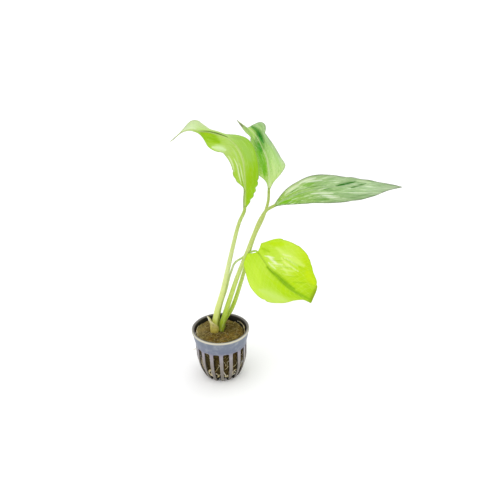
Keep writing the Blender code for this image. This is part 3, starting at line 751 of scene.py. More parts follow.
def slot_rows(rows):
    """Heights and radii down the pot's outside, from the rim to the middle of the base."""
    under_lip = POT_HEIGHT - LIP_HEIGHT
    collar = np.linspace(under_lip - 0.5 * MM, SLOT_TOP + 0.6 * MM, 14)
    ribs = np.linspace(SLOT_TOP, FOOT_CHAMFER, rows)
    path = [(RIM_RADIUS, POT_HEIGHT), (RIM_RADIUS, under_lip)]
    path += [(RIM_RADIUS - LIP_OVERHANG, under_lip)]
    path += [(float(pot_radius(z)), z) for z in collar]
    first_slot = len(path)
    path += [(float(pot_radius(z)), z) for z in ribs]
    foot = float(pot_radius(FOOT_CHAMFER)) - FOOT_CHAMFER
    path += [(foot, 0.0), ((foot + HUB_RADIUS) / 2, 0.0)]
    last_slot = len(path)
    path += [(radius, 0.0) for radius in (HUB_RADIUS, HUB_RADIUS - 0.8 * MM, 4 * MM, 1.4 * MM, 0.0)]
    return np.array(path), first_slot, last_slot


def build_pot(settings):
    """The pot as one moulded skin, its ribs running under the base to a solid hub."""
    path, first_slot, last_slot = slot_rows(26)
    rib_cells, slot_cells = 4, 6
    pitch_cells = rib_cells + slot_cells
    columns = RIB_COUNT * pitch_cells
    rows = len(path)
    outer = np.zeros((rows, columns, 3))
    inner = np.zeros((rows, columns, 3))
    corner = settings.slot_corner
    corner_rows = 6
    for i, (radius, height) in enumerate(path):
        rib = RIB_FOOT_WIDTH + height / SLOT_TOP * (RIB_TOP_WIDTH - RIB_FOOT_WIDTH)
        half = math.asin(min(rib / 2 / max(radius, HUB_RADIUS), 0.9))
        turns = np.concatenate([
            np.linspace(-half, half, rib_cells, endpoint=False),
            np.linspace(half, RIB_PITCH - half, slot_cells, endpoint=False),
        ])
        inner_radius = max(radius - WALL, 0.0)
        inner_height = height
        if i < 3:
            inner_radius = RIM_RADIUS - LIP_OVERHANG - WALL
            inner_height = height - 0.25 * MM * i
        if height < FLOOR:
            in_hub = height == 0.0 and radius < HUB_RADIUS + MM
            inner_height = FLOOR
            inner_radius = radius if in_hub else radius - 0.8 * WALL
        for k in range(RIB_COUNT):
            for j, turn in enumerate(turns):
                angle = k * RIB_PITCH + turn
                drop = 0.0
                if first_slot <= i < first_slot + corner_rows:
                    across = abs(2 * (turn - half) / (RIB_PITCH - 2 * half) - 1)
                    near = np.clip((across - 0.5) / 0.5, 0, 1) if j >= rib_cells else float(j == 0)
                    fade = 1 - (i - first_slot) / corner_rows
                    drop = corner * (1 - math.sqrt(1 - near**2)) * fade
                direction = np.array((math.cos(angle), math.sin(angle), 0.0))
                outer[i, k * pitch_cells + j] = direction * radius + (0, 0, height - drop)
                inner[i, k * pitch_cells + j] = direction * inner_radius + (0, 0, inner_height - drop)
    cells = np.arange(columns) % pitch_cells >= rib_cells
    solid = np.ones((rows - 1, columns), bool)
    solid[first_slot:last_slot, cells] = False
    fields = {"pot_wall": np.zeros((rows, columns, 3))}
    pot = shell("moulded_net_pot", outer, inner, moulded_polypropylene(settings), fields, solid, True)
    edit = bmesh.new()
    edit.from_mesh(pot.data)
    bmesh.ops.remove_doubles(edit, verts=edit.verts, dist=0.001 * MM)
    bmesh.ops.recalc_face_normals(edit, faces=edit.faces)
    edit.to_mesh(pot.data)
    edit.free()
    round_edges = pot.modifiers.new("Moulded edges", "BEVEL")
    round_edges.width = settings.edge_round
    round_edges.segments = 2
    round_edges.limit_method = "ANGLE"
    round_edges.angle_limit = math.radians(40)
    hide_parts("net_pot")


# Fibrous plug


def plug_gap(height, angle):
    """How far the plug stays inside the pot's inner wall."""
    heights = [0.0, SLOT_TOP, WAIST_HEIGHT, PLUG_TOP]
    gap = np.interp(height, heights, [ROOT_SPACE, ROOT_SPACE, WAIST_GAP, TOP_GAP])
    shrunk = np.clip((height - WAIST_HEIGHT) / SHRUNK_DEPTH, 0, 1)
    return gap + SHRINKAGE * shrunk * np.clip(np.cos(angle - SHRUNK_DIRECTION), 0, 1)


def crown_dip(points):
    """How far the plug's top sinks at a point, near the stalks' feet and between them."""
    centre = np.array((CORE.x, CORE.y))
    depth = CORE_DIP * bell(np.linalg.norm(points[..., :2] - centre, axis=-1), 6.5 * MM)
    for leaf in LEAVES:
        away = np.linalg.norm(points[..., :2] - np.array(leaf["foot"]) * MM, axis=-1)
        depth = depth + FOOT_DIP * bell(away - leaf["foot_radius"] * MM, 1.0 * MM)
    for place, radius in HOLES:
        away = np.linalg.norm(points[..., :2] - np.array(place) * MM, axis=-1)
        depth = depth + HOLE_DEPTH * bell(away, radius * MM)
    return np.minimum(depth, DEEPEST_DIP)


def wool_relief(points):
    """Height of the wool's lumps, tufts and strands above its plain surface."""
    lumps = noise_at(points, 7 * MM, 3.0) * 0.9 * MM
    tufts = noise_at(points, 2.2 * MM, 7.0) * 0.45 * MM
    strands = np.abs(noise_at(points * (1.0, 1.0, 0.5), 0.9 * MM, 12.0)) * 0.35 * MM
    return lumps + tufts - strands


def spun_wool(settings):
    """Spun mineral wool, melted rock blown to fibres, wet and stained by tea-brown water.

    The eye sees matted ochre fibres with black gaps, pale dry tips, a green bloom
    of algae and a dry side. Behind the stalks' feet the wool is painted darker as
    shade, and low in the slots it is painted dark as the shade inside the pot. The
    fibres, under 0.01 mm on the real wool, are drawn as strands of 0.3 mm, which
    still show.
    """
    made, tree, shader = new_material("Spun mineral wool")
    place = add(tree, "TexCoord")["Object"]
    parts = add(tree, "SeparateXYZ", {0: place})
    warp = add(tree, "TexNoise", {"Vector": place, "Scale": 1 / (3 * MM), "Detail": 3.0})["Color"]
    bent = {"Fac": 0.0035, "Color1": place, "Color2": warp}
    bent = add(tree, "MixRGB", bent, blend_type="ADD")[0]
    lumps = {"Vector": bent, "Scale": 1 / (3.2 * MM), "Detail": 8.0, "Roughness": 0.68}
    lumps = add(tree, "TexNoise", lumps)[0]
    ramp = [(0.28, "1A1304"), (0.72, "B49C62"), (0.42, "5A440C")]
    ramp += [(0.52, tuple(settings.colour)), (0.62, "8E7836")]
    colour = add(tree, "ValToRGB", {0: lumps}, ramp=ramp)[0]
    bloom = add(tree, "TexNoise", {"Vector": place, "Scale": 1 / (9 * MM), "Detail": 2.0})[0]
    bloom = add(tree, "MapRange", {0: bloom, 1: 0.52, 2: 0.66, 3: 0.0, 4: settings.algae})[0]
    strand = {"Vector": bent, "Scale": 1 / (1.0 * MM), "Detail": 2.0, "Distortion": 3.0}
    strand = add(tree, "TexNoise", strand)[0]
    strand = add(tree, "MapRange", {0: strand, 1: 0.60, 2: 0.72, 3: 0.0, 4: 0.55})[0]
    rust = add(tree, "TexNoise", {"Vector": place, "Scale": 1 / (6 * MM), "Detail": 3.0})[0]
    rust = add(tree, "MapRange", {0: rust, 1: 0.5, 2: 0.68, 3: 0.0, 4: 0.6})[0]
    # Painted shade: the wool behind the stalks' feet is painted darker, as the shade there
    painted_crown_shade = {0: place, 1: (8 * MM, 8 * MM, PLUG_TOP)}
    painted_crown_shade = add(tree, "VectorMath", painted_crown_shade, operation="DISTANCE")["Value"]
    painted_crown_shade = add(tree, "MapRange", {0: painted_crown_shade, 1: 3 * MM, 2: 10 * MM, 3: 0.6, 4: 0.0})[0]
    dry = add(tree, "MapRange", {0: parts["X"], 1: -9 * MM, 2: -20 * MM, 3: 0.0, 4: 1.1})[0]
    dry = add(tree, "Math", {0: dry, 1: lumps}, operation="MULTIPLY")[0]
    # Painted shade: the wool low in the slots is painted dark, as the shade inside the pot
    deep = {0: parts["Z"], 1: SLOT_TOP + 2 * MM, 2: SLOT_TOP - MM, 3: 0.0, 4: 0.72}
    deep = add(tree, "MapRange", deep)[0]
    coats = [(bloom, "4A4A14"), (strand, "B7A87A"), (rust, "8C6014"), (painted_crown_shade, "3A3A10")]
    colour = paint(tree, colour, coats + [(dry, "A09864"), (deep, "231D0A")])
    fine = {"Vector": bent, "Scale": 1 / (0.3 * MM), "Detail": 4.0, "Distortion": 1.5}
    fine = add(tree, "TexNoise", fine)[0]
    bump = add(tree, "Bump", {"Height": fine, "Strength": 0.8, "Distance": 0.35 * MM})[0]
    values = {"Base Color": colour, "Roughness": 0.92, "Normal": bump, "IOR": 1.45}
    settle(tree, shader, {**values, "Specular IOR Level": 0.25})
    return made


def wool_fibre(settings):
    """Single loose fibres of the same wool, dry at the tips and paler than the mat."""
    made, tree, shader = new_material("Loose wool fibre")
    field = add(tree, "Attribute", attribute_name="fibre")["Vector"]
    each = add(tree, "SeparateXYZ", {0: field})["Z"]
    ramp = [(0.0, "4E3F14"), (1.0, "C2B384"), (0.35, tuple(settings.colour)), (0.7, "94834C")]
    colour = add(tree, "ValToRGB", {0: each}, ramp=ramp)[0]
    settle(tree, shader, {"Base Color": colour, "Roughness": 0.8, "IOR": 1.45})
    return made


def plug_top_height(points):
    """Height of the plug's top over points (x, y, 0), heaped up against the wall at the left."""
    away = np.linalg.norm(points[..., :2], axis=-1)
    turn = np.arctan2(points[..., 1], points[..., 0])
    heap = HEAP * (away / BODY_RADIUS) ** 3 * np.clip(0.3 - np.cos(turn - SHRUNK_DIRECTION), 0, 1)
    return PLUG_TOP - crown_dip(points) + wool_relief(points) + heap - 0.4 * MM


def build_plug(settings):
    """The plug's body: down its side from the middle of the top to the middle of the bottom."""
    columns = 216
    angles = np.linspace(0, 2 * math.pi, columns, endpoint=False)
    top_shares = np.linspace(0.0, 1.0, 54)[1:]
    side_heights = np.linspace(PLUG_TOP - PLUG_EDGE, PLUG_BOTTOM + PLUG_EDGE, 60)
    foot_shares = np.linspace(1.0, 0.0, 16)[:-1]
    rows = []
    around = on_circle(angles, 1.0, 0.0)
    up = np.array((0.0, 0.0, 1.0))
    corner = PLUG_EDGE * 0.8
    side_top = pot_radius(side_heights[0]) - WALL - plug_gap(side_heights[0], angles)
    for share in top_shares:
        flat = around * ((side_top - corner) * share)[:, None]
        rows.append(flat + up * plug_top_height(flat)[:, None])
    for height in side_heights:
        radius = pot_radius(height) - WALL - plug_gap(height, angles)
        flat = around * radius[:, None] + up * height
        bulge = wool_relief(flat) * (1.0 if height < SLOT_TOP else 0.5)
        in_slot = np.cos((angles + RIB_PITCH / 2) * RIB_COUNT)
        bulge = bulge + (0.35 * MM * in_slot if height < SLOT_TOP else -0.2 * MM)
        rows.append(flat + around * np.minimum(bulge, 1.0 * MM)[:, None])
    side_foot = pot_radius(side_heights[-1]) - WALL - ROOT_SPACE
    for share in foot_shares:
        flat = around * ((side_foot - corner) * share) + up * PLUG_BOTTOM
        rows.append(flat + up * (wool_relief(flat) * 0.4 + 0.3 * MM)[:, None])
    grid = np.array(rows)
    count = len(grid)
    middle_top = np.array([[0, 0, float(plug_top_height(np.zeros((1, 3)))[0])]])
    middle_foot = np.array([[0, 0, PLUG_BOTTOM + 0.3 * MM]])
    points = np.concatenate([grid.reshape(-1, 3), middle_top, middle_foot])
    faces = []
    for i in range(count - 1):
        for j in range(columns):
            a = i * columns + j
            b = i * columns + (j + 1) % columns
            faces.append((a, a + columns, b + columns, b))
    for j in range(columns):
        faces.append((j, (j + 1) % columns, count * columns))
        last = (count - 1) * columns
        faces.append((last + (j + 1) % columns, last + j, count * columns + 1))
    plug = mesh_piece("fibrous_plug", points, faces, spun_wool(settings))
    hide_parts("rockwool_plug")


def build_fibres(settings):
    """Loose fibres that lie on the plug's top and curl out of its side in the slots."""
    draw = random.Random(11)
    tubes = []
    section = np.ones(4)
    for _ in range(settings.top_fibres):
        reach = 20.5 * MM * math.sqrt(draw.random())
        angle = draw.uniform(0, 2 * math.pi)
        heading = draw.uniform(0, 2 * math.pi)
        length = draw.uniform(2.5, 8.0) * MM
        curl = draw.uniform(-2.2, 2.2)
        lift = draw.uniform(0.1, 0.9) * MM
        steps = np.linspace(-0.5, 0.5, 9)
        turn = heading + curl * steps
        path = on_circle(angle + 0 * steps, reach, 0.0) + on_circle(turn, length * steps, 0.0)
        away = np.linalg.norm(path[:, :2], axis=1)
        limit = pot_radius(PLUG_TOP) - WALL - plug_gap(PLUG_TOP, angle) - 1.2 * MM
        path[:, :2] *= np.minimum(1.0, limit / away)[:, None]
        path[:, 2] = plug_top_height(path) + lift * (0.25 - steps**2) * 4 - 0.05 * MM
        tubes.append(rings_along(path, np.full(9, draw.uniform(0.06, 0.13) * MM), section))
    for _ in range(settings.side_fibres):
        height = draw.uniform(PLUG_BOTTOM + 2 * MM, SLOT_TOP - 1 * MM)
        angle = draw.uniform(0, 2 * math.pi)
        slant = draw.uniform(-1.2, 1.2)
        length = draw.uniform(2.5, 6.0) * MM
        lift = draw.uniform(0.2, 0.9) * MM
        steps = np.linspace(-0.5, 0.5, 8)
        heights = np.clip(height + length * steps * math.cos(slant), PLUG_BOTTOM + MM, SLOT_TOP)
        turns = angle + length * steps * math.sin(slant) / (18 * MM)
        radius = pot_radius(heights) - WALL - ROOT_SPACE + lift * (0.25 - steps**2) * 4
        path = on_circle(turns, radius, heights)
        tubes.append(rings_along(path, np.full(8, draw.uniform(0.06, 0.12) * MM), section))
    fibres = tube_piece("loose_fibres", tubes, wool_fibre(settings), "fibre")


# Rootstock and old sheath


def corky_rootstock():
    """Skin of a living rootstock: corky rings where old leaves stood, damp and dull."""
    made, tree, shader = new_material("Corky rootstock skin")
    place = add(tree, "TexCoord")["Object"]
    rings = {"Vector": place, "Scale": 1 / (4 * MM), "Distortion": 2.0, "Detail": 3.0}
    rings = add(tree, "TexWave", rings, bands_direction="Z")[0]
    ramp = [(0.0, "4C3C1C"), (1.0, "9A8450"), (0.55, "74602F")]
    colour = add(tree, "ValToRGB", {0: rings}, ramp=ramp)[0]
    bump = add(tree, "Bump", {"Height": rings, "Strength": 0.6, "Distance": 0.3 * MM})[0]
    settle(tree, shader, {"Base Color": colour, "Roughness": 0.75, "Normal": bump, "IOR": 1.45})
    return made


def dry_sheath(settings):
    """The sheath of a cut leaf, dried to parchment: ribbed, straw yellow, paling to cream at the torn tip,
    with brown spots.
    """
    made, tree, shader = new_material("Dry leaf sheath")
    field = add(tree, "Attribute", attribute_name="sheath")["Vector"]
    parts = add(tree, "SeparateXYZ", {0: field})
    ribs = add(tree, "Math", {0: parts["Y"], 1: 160.0}, operation="MULTIPLY")[0]
    ribs = add(tree, "Math", {0: ribs}, operation="SINE")[0]
    place = add(tree, "TexCoord")["Object"]
    stain = add(tree, "TexNoise", {"Vector": place, "Scale": 1 / (2.2 * MM), "Detail": 4.0})[0]
    ramp = [(0.0, "BAA438"), (1.0, "F2EAD6")]
    ramp += [(0.25, tuple(settings.colour)), (0.7, "DCD690"), (0.9, "EFE6CC")]
    colour = add(tree, "ValToRGB", {0: parts["X"]}, ramp=ramp)[0]
    spots = add(tree, "MapRange", {0: stain, 1: 0.5, 2: 0.75, 3: 0.0, 4: 0.5})[0]
    colour = paint(tree, colour, [(spots, "8E7626")])
    bump = add(tree, "Bump", {"Height": ribs, "Strength": 0.35, "Distance": 0.15 * MM})[0]
    values = {"Base Color": colour, "Roughness": 0.6, "Normal": bump, "IOR": 1.45}
    settle(tree, shader, {**values, **flesh(0.15, 0.9, 0.7, 0.3)})
    return made


def build_sheath(settings):
    """A flake that curls round the left stalk's foot and tapers to a torn, flared tip."""
    centre = np.array((LEFT_LEAF["foot"][0] * MM, LEFT_LEAF["foot"][1] * MM, CROWN))
    inner_radius = LEFT_LEAF["foot_radius"] * MM + SHEATH_SPACE
    rows, columns = 60, 90
    up = np.linspace(0, 1, rows)[:, None]
    side = np.linspace(-1, 1, columns)[None, :]
    half_arc = SHEATH_HALF_ARC * (1.0 - 0.93 * up**1.8)
    middle = SHEATH_FOOT_DIRECTION + up * (SHEATH_TIP_DIRECTION - SHEATH_FOOT_DIRECTION)
    angle = middle + side * half_arc
    height = up * settings.height
    torn = 0.5 * MM * np.sin(side * 9 + 3 * up) * up * (1 - abs(side) * 0.5)
    ribs = 0.06 * MM * np.sin(side * 40)
    radius = inner_radius + SHEATH_FLARE * up**2 + ribs + 0.25 * MM * np.sin(up * 11 + side * 2) * up
    thickness = settings.thickness * (1 - 0.6 * up) * (1 - 0.5 * abs(side) ** 4)
    around = on_circle(angle, 1.0, 0.0)
    rise = np.stack([SHEATH_LEAN * up + 0 * angle, 0 * angle, height + torn], -1)
    outer = centre + around * (radius + thickness / 2)[..., None] + rise
    inner = centre + around * (radius - thickness / 2)[..., None] + rise
    fields = {"sheath": np.stack([up + 0 * side, side + 0 * up, 0 * angle], -1)}
    sheath = shell("old_leaf_sheath", outer, inner, dry_sheath(settings), fields)
    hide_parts("old_stalk_stub")


# Leaves

# A white room's light that the waxy skin sends back before it reaches the pulp,
# and the share of the pulp's own colour that the room brings out
SKIN_SHEEN = 0.028
PULP_LIGHT = 1.09

LONG_VEINS = (0.30, 0.58, 0.82)  # shares of the half width
VEIN_SPACING = 4.2 * MM
VEIN_SLANT = 0.25  # share of the length that a side vein runs back to the margin


def leaf_points(places):
    """Leaf places in metres, from millimetres above the middle of the plug."""
    return np.array(places, float) * MM + (0, 0, PLUG_TOP)


def leaf_tones(leaf, along, across, reach, length):
    """The blade's colour at each point, and how far its marks cover the marbling there."""
    lanes = np.array([-1.0, -0.35, 0.35, 1.0])
    shares = [tone[0] for tone in leaf["tones"]]
    table = np.array([[hex_colour(text) for text in tone[1:]] for tone in leaf["tones"]])
    colours = np.empty((len(along), len(across), 3))
    for c in range(3):
        lane = np.stack([np.interp(along, shares, table[:, k, c]) for k in range(len(lanes))], -1)
        colours[..., c] = [np.interp(across, lanes, row) for row in lane]
    grid = np.stack([along[:, None] * length + 0 * reach, reach * np.sign(across)], -1)
    cover = np.zeros_like(reach)
    for *ends, width, text, strength in leaf["marks"]:
        edges = [np.interp(end[0], along, reach[:, 0 if end[1] < 0 else -1]) for end in ends]
        start, stop = (np.array((end[0] * length, end[1] * edge)) for end, edge in zip(ends, edges))
        run = stop - start
        share = np.clip(np.sum((grid - start) * run, -1) / np.sum(run * run), 0, 1)
        away = np.linalg.norm(grid - start - share[..., None] * run, axis=-1)
        taper = 0.35 + 0.65 * np.sin(math.pi * np.clip(share, 0.02, 0.98))
        mask = bell(away, width * 1.25 * MM * taper) * strength
        colours += (np.array(hex_colour(text)) - colours) * mask[..., None]
        cover = np.maximum(cover, mask)
    return colours, cover


def blade_surface(leaf, along, across):
    """The middle surface of a blade, its widths and the distance from the midrib."""
    places = leaf_points([station[0] for station in leaf["stations"]])
    knots = length_knots(places)
    facings = [station[1] for station in leaf["stations"]]
    widths = [station[2] for station in leaf["stations"]]
    folds = np.radians([station[3] for station in leaf["stations"]])
    side = (across > 0).astype(int)
    share = np.abs(across)
    step = 0.001
    ahead = through(places, knots, np.clip(along + step, 0, 1))
    behind = through(places, knots, np.clip(along - step, 0, 1))
    forward = unit(ahead - behind)
    facing = through(facings, knots, along)
    facing = unit(facing - forward * np.sum(facing * forward, axis=1, keepdims=True))
    right = np.cross(forward, facing)
    width = np.maximum(through(widths, knots, along) * MM, 0.2 * MM)[:, side]
    for place, which, depth in leaf["nicks"]:
        cut = bell(along - place, 0.012)[:, None] * depth * MM * (np.sign(across) == which)
        width = np.maximum(width - cut, 0.2 * MM)
    bend = through(folds, knots, along)[:, side] * (0.35 + 0.65 * share)
    lobes = np.array(leaf["lobes"])[side] * MM
    sweep = lobes * (1 - along[:, None]) ** 9 * share**1.3
    reach = width * share
    out = right[:, None] * np.where(across > 0, 1.0, -1.0)[:, None]
    points = through(places, knots, along)[:, None]
    points = points + out * (reach * np.cos(bend))[..., None]
    points = points + facing[:, None] * (reach * np.sin(bend))[..., None]
    points = points - forward[:, None] * sweep[..., None]
    return points, reach, width


def vein_relief(along, across, reach, length):
    """How strongly the long veins and the slanting side veins show at each point."""
    share = np.abs(across)[None, :]
    fade = np.clip(along * 12, 0, 1)[:, None] * np.clip((1 - along) * 8, 0, 1)[:, None]
    width = reach / np.maximum(share, 0.02)
    long_veins = sum(bell((share - at) * width, 0.38 * MM) for at in LONG_VEINS)
    slant = (along[:, None] - VEIN_SLANT * share**1.5) * length / VEIN_SPACING
    side_veins = bell((slant - np.round(slant)) * VEIN_SPACING, 0.35 * MM)
    return long_veins * fade, side_veins * fade


def leaf_skin(leaf, settings):
    """Living leaf blade, a waxy skin over pulp cells, pale where the pulp lacks green.

    The eye sees light from behind glow through yellow-green pulp, a soft waxy
    shine that breaks over the veins, and marbling that runs along them. The glow
    is partly painted into the blade's tones as brighter colour, and some leaves'
    tones and marks also hold painted highlights, sheen and shade. The net of
    small veins is drawn at 1.3 mm, near its real spacing.
    """
    made, tree, shader = new_material("Living leaf " + leaf["name"])
    tone = add(tree, "Attribute", attribute_name="leaf_tone")["Vector"]
    cover = add(tree, "Attribute", attribute_name="leaf_cover")["Fac"]
    flow = add(tree, "Attribute", attribute_name="leaf_flow")["Vector"]
    veins = add(tree, "Attribute", attribute_name="leaf_veins")["Vector"]
    veins = add(tree, "SeparateXYZ", {0: veins})
    marbling = leaf["mottle"]
    streaked = add(tree, "VectorMath", {0: flow, 1: (0.2, 1.0, 1.0)}, operation="MULTIPLY")[0]
    marble = {"Vector": streaked, "Scale": 1 / (2.2 * MM), "Detail": 4.0, "Roughness": 0.6}
    marble = add(tree, "TexNoise", marble)[0]
    pale = add(tree, "MapRange", {0: marble, 1: 0.53, 2: 0.68, 3: 0.0, 4: marbling})[0]
    deep = add(tree, "MapRange", {0: marble, 1: 0.47, 2: 0.33, 3: 0.0, 4: marbling})[0]
    drawn = add(tree, "VectorMath", {0: flow, 1: (0.1, 1.0, 1.0)}, operation="MULTIPLY")[0]
    strand = add(tree, "TexNoise", {"Vector": drawn, "Scale": 1 / (0.7 * MM), "Detail": 2.0})[0]
    light = add(tree, "MapRange", {0: strand, 1: 0.55, 2: 0.72, 3: 0.0, 4: 0.8 * marbling})[0]
    net = {"Vector": flow, "Scale": 1 / (1.3 * MM)}
    net = add(tree, "TexVoronoi", net, feature="DISTANCE_TO_EDGE")[0]
    net = add(tree, "MapRange", {0: net, 1: 0.0, 2: 0.12, 3: 1.0, 4: 0.0})[0]
    faint = add(tree, "Math", {0: net, 1: leaf["net"]}, operation="MULTIPLY")[0]
    coats = [(pale, leaf["pale"]), (deep, leaf["deep"]), (light, leaf["pale"]), (faint, leaf["vein"])]
    for which in "YX":
        vein = {0: veins[which], 1: settings.vein_strength}
        coats.append((add(tree, "Math", vein, operation="MULTIPLY")[0], leaf["vein"]))
    broken = add(tree, "MapRange", {0: strand, 1: 0.38, 2: 0.58, 3: 1.0, 4: 0.6})[0]
    covered = add(tree, "Math", {0: cover, 1: broken}, operation="MULTIPLY")[0]
    under = add(tree, "Math", {0: veins["Z"], 1: -0.3, 2: 0.3}, operation="MULTIPLY_ADD")[0]
    colour = paint(tree, tone, coats + [(covered, tone), (under, "B4CC88")])
    cells = add(tree, "TexNoise", {"Vector": flow, "Scale": 1 / (0.4 * MM), "Detail": 3.0})[0]
    fine = add(tree, "Math", {0: net, 1: cells, 2: 0.5}, operation="MULTIPLY_ADD")[0]
    bump = add(tree, "Bump", {"Height": fine, "Strength": 0.25, "Distance": 0.12 * MM})[0]
    rough = add(tree, "MapRange", {0: marble, 1: 0.35, 2: 0.7, 3: 0.42, 4: 0.55})[0]
    values = {"Base Color": colour, "Roughness": rough, "Normal": bump, "IOR": 1.42}
    values["Specular IOR Level"] = 0.1
    settle(tree, shader, {**values, **flesh(settings.glow, 0.7, 1.0, 0.25)})
    return made


def build_blade(leaf, settings):
    """One blade, thick along its midrib and thin at its margin, pillowed between its veins."""
    rows, columns = 181, 73
    along = np.linspace(0, 1, rows)
    across = np.linspace(-1, 1, columns)
    points, reach, width = blade_surface(leaf, along, across)
    length = np.sum(np.linalg.norm(np.diff(points[:, columns // 2], axis=0), axis=1))
    share = np.abs(across)[None, :]
    long_veins, side_veins = vein_relief(along, across, reach, length)
    normals = unit(np.cross(np.gradient(points, axis=0), np.gradient(points, axis=1)))
    wave = np.sin(along[:, None] * 31 + np.sign(across) * 1.3 + 2.0 * np.sin(along[:, None] * 9))
    swing = leaf["ruffle"] * MM * share**4 * wave * np.sin(math.pi * along[:, None]) ** 0.5
    cockle = noise_at(points, 9 * MM, 5.0) * 0.45 * MM * share
    points = points + normals * (swing + cockle)[..., None]
    neck = leaf["neck_radius"] * MM
    keel = neck * (1 - along[:, None]) ** 0.8 + 0.15 * MM
    rib = np.sqrt(np.clip(keel**2 - reach**2, 0, None))
    lamina = settings.thickness * (1 - 0.45 * share**2) / 2
    groove = 0.16 * MM * bell(reach, 0.5 * MM)
    pillow = 0.10 * MM * (long_veins + 0.7 * side_veins)
    upper = points - normals * (lamina - groove - pillow)[..., None]
    lower = points + normals * (lamina + rib + 0.6 * pillow)[..., None]
    midrib = bell(reach, (0.55 * MM) * (1 - 0.6 * along[:, None]) + 0.12 * MM)
    margin = bell(width - reach, leaf["margin_width"] * MM)
    # The tones hold each leaf's own colour together with its painted glow, highlights, sheen and shade
    tones, cover = leaf_tones(leaf, along, across, reach, length)
    midrib_tone = np.array(hex_colour(leaf["midrib"]))
    margin_tone = np.array(hex_colour(leaf["margin"]))
    tones += (midrib_tone - tones) * (0.8 * midrib)[..., None]
    tones += (margin_tone - tones) * (0.85 * margin)[..., None]
    tones = np.clip((tones - SKIN_SHEEN) / PULP_LIGHT, 0.003, 1.0)
    flow = (along[:, None] - VEIN_SLANT * share**1.5) * length
    fields = {
        "leaf_flow": np.stack([flow, reach * np.sign(across), 0 * reach], -1),
        "leaf_veins": np.stack([long_veins * 0.6, side_veins, 0 * reach], -1),
    }
    blade = shell("blade_" + leaf["name"], lower, upper, leaf_skin(leaf, settings), fields)
    stored = [("leaf_tone", "FLOAT_VECTOR", "vector", tones), ("leaf_cover", "FLOAT", "value", cover)]
    for field, kind, key, values in stored:
        both = np.concatenate([values.ravel()] * 2)
        blade.data.attributes.new(field, kind, "POINT").data.foreach_set(key, both.astype(np.float32))
    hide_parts("leaf_blade_" + leaf["name"])


def stalk_skin(leaf, settings):
    """Living leaf stalk, a smooth waxy skin over spongy, light-passing tissue.

    The eye sees a pale, juicy stem with long fibres, cream where it comes out of
    the wool; olive stripes down its left and right sides are painted shade where
    its surface turns away.
    """
    made, tree, shader = new_material("Living stalk " + leaf["name"])
    parts = add(tree, "SeparateXYZ", {0: add(tree, "Attribute", attribute_name="stalk")["Vector"]})
    colour = add(tree, "ValToRGB", {0: parts["X"]}, ramp=leaf["stalk_tones"])[0]
    # Painted shade: olive stripes down the stalk's two sides, where its surface turns away
    turn = add(tree, "Math", {0: parts["Y"], 1: 4 * math.pi}, operation="MULTIPLY")[0]
    side_shade = add(tree, "Math", {0: turn}, operation="COSINE")[0]
    side_shade = add(tree, "MapRange", {0: side_shade, 1: 0.45, 2: 1.0, 3: 0.0, 4: settings.side_shade_strength})[0]
    place = add(tree, "TexCoord")["Object"]
    drawn = add(tree, "VectorMath", {0: place, 1: (1.0, 1.0, 0.08)}, operation="MULTIPLY")[0]
    fibres = add(tree, "TexNoise", {"Vector": drawn, "Scale": 1 / (0.5 * MM), "Detail": 3.0})[0]
    streak = add(tree, "MapRange", {0: fibres, 1: 0.5, 2: 0.75, 3: 0.0, 4: 0.35})[0]
    colour = paint(tree, colour, [(side_shade, "747F24"), (streak, "EEF2CE")])
    bump = add(tree, "Bump", {"Height": fibres, "Strength": 0.3, "Distance": 0.1 * MM})[0]
    values = {"Base Color": colour, "Roughness": 0.42, "Normal": bump, "IOR": 1.42}
    values["Specular IOR Level"] = 0.3
    settle(tree, shader, {**values, **flesh(0.2, 1.6, 1.8, 0.6)})
    return made


def build_stalk(leaf, settings):
    """A stalk from the rootstock into the blade's base, oval and finely ridged."""
    x, y = leaf["foot"]
    foot = np.array((x * MM, y * MM, CROWN))
    middle = leaf_points(leaf["stalk"])
    stations = leaf_points([station[0] for station in leaf["stations"]])
    into = stations[0] + (stations[1] - stations[0]) * 0.25
    route = np.concatenate([[foot, foot + (0, 0, 2.5 * MM)], middle, stations[:1], [into]])
    knots = length_knots(route)
    shares = np.linspace(0, 1, 120)
    path = through(route, knots, shares)
    neck = leaf["neck_radius"] * MM
    radii = neck + (leaf["foot_radius"] * MM - neck) * (1 - shares**0.8)
    inside_blade = np.clip((shares - knots[-2]) / (1 - knots[-2]), 0, 1)
    radii = radii * (1 - 0.45 * inside_blade)
    angles = np.linspace(0, 2 * math.pi, 32, endpoint=False)
    section = 0.97 + 0.07 * np.cos(2 * angles) + 0.015 * np.cos(14 * angles)
    rings = rings_along(path, radii, section[None, :] + 0 * radii[:, None])
    stalk = tube_piece("stalk_" + leaf["name"], [rings], stalk_skin(leaf, settings), "stalk")
    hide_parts("leaf_stalk_" + leaf["name"])


# Roots


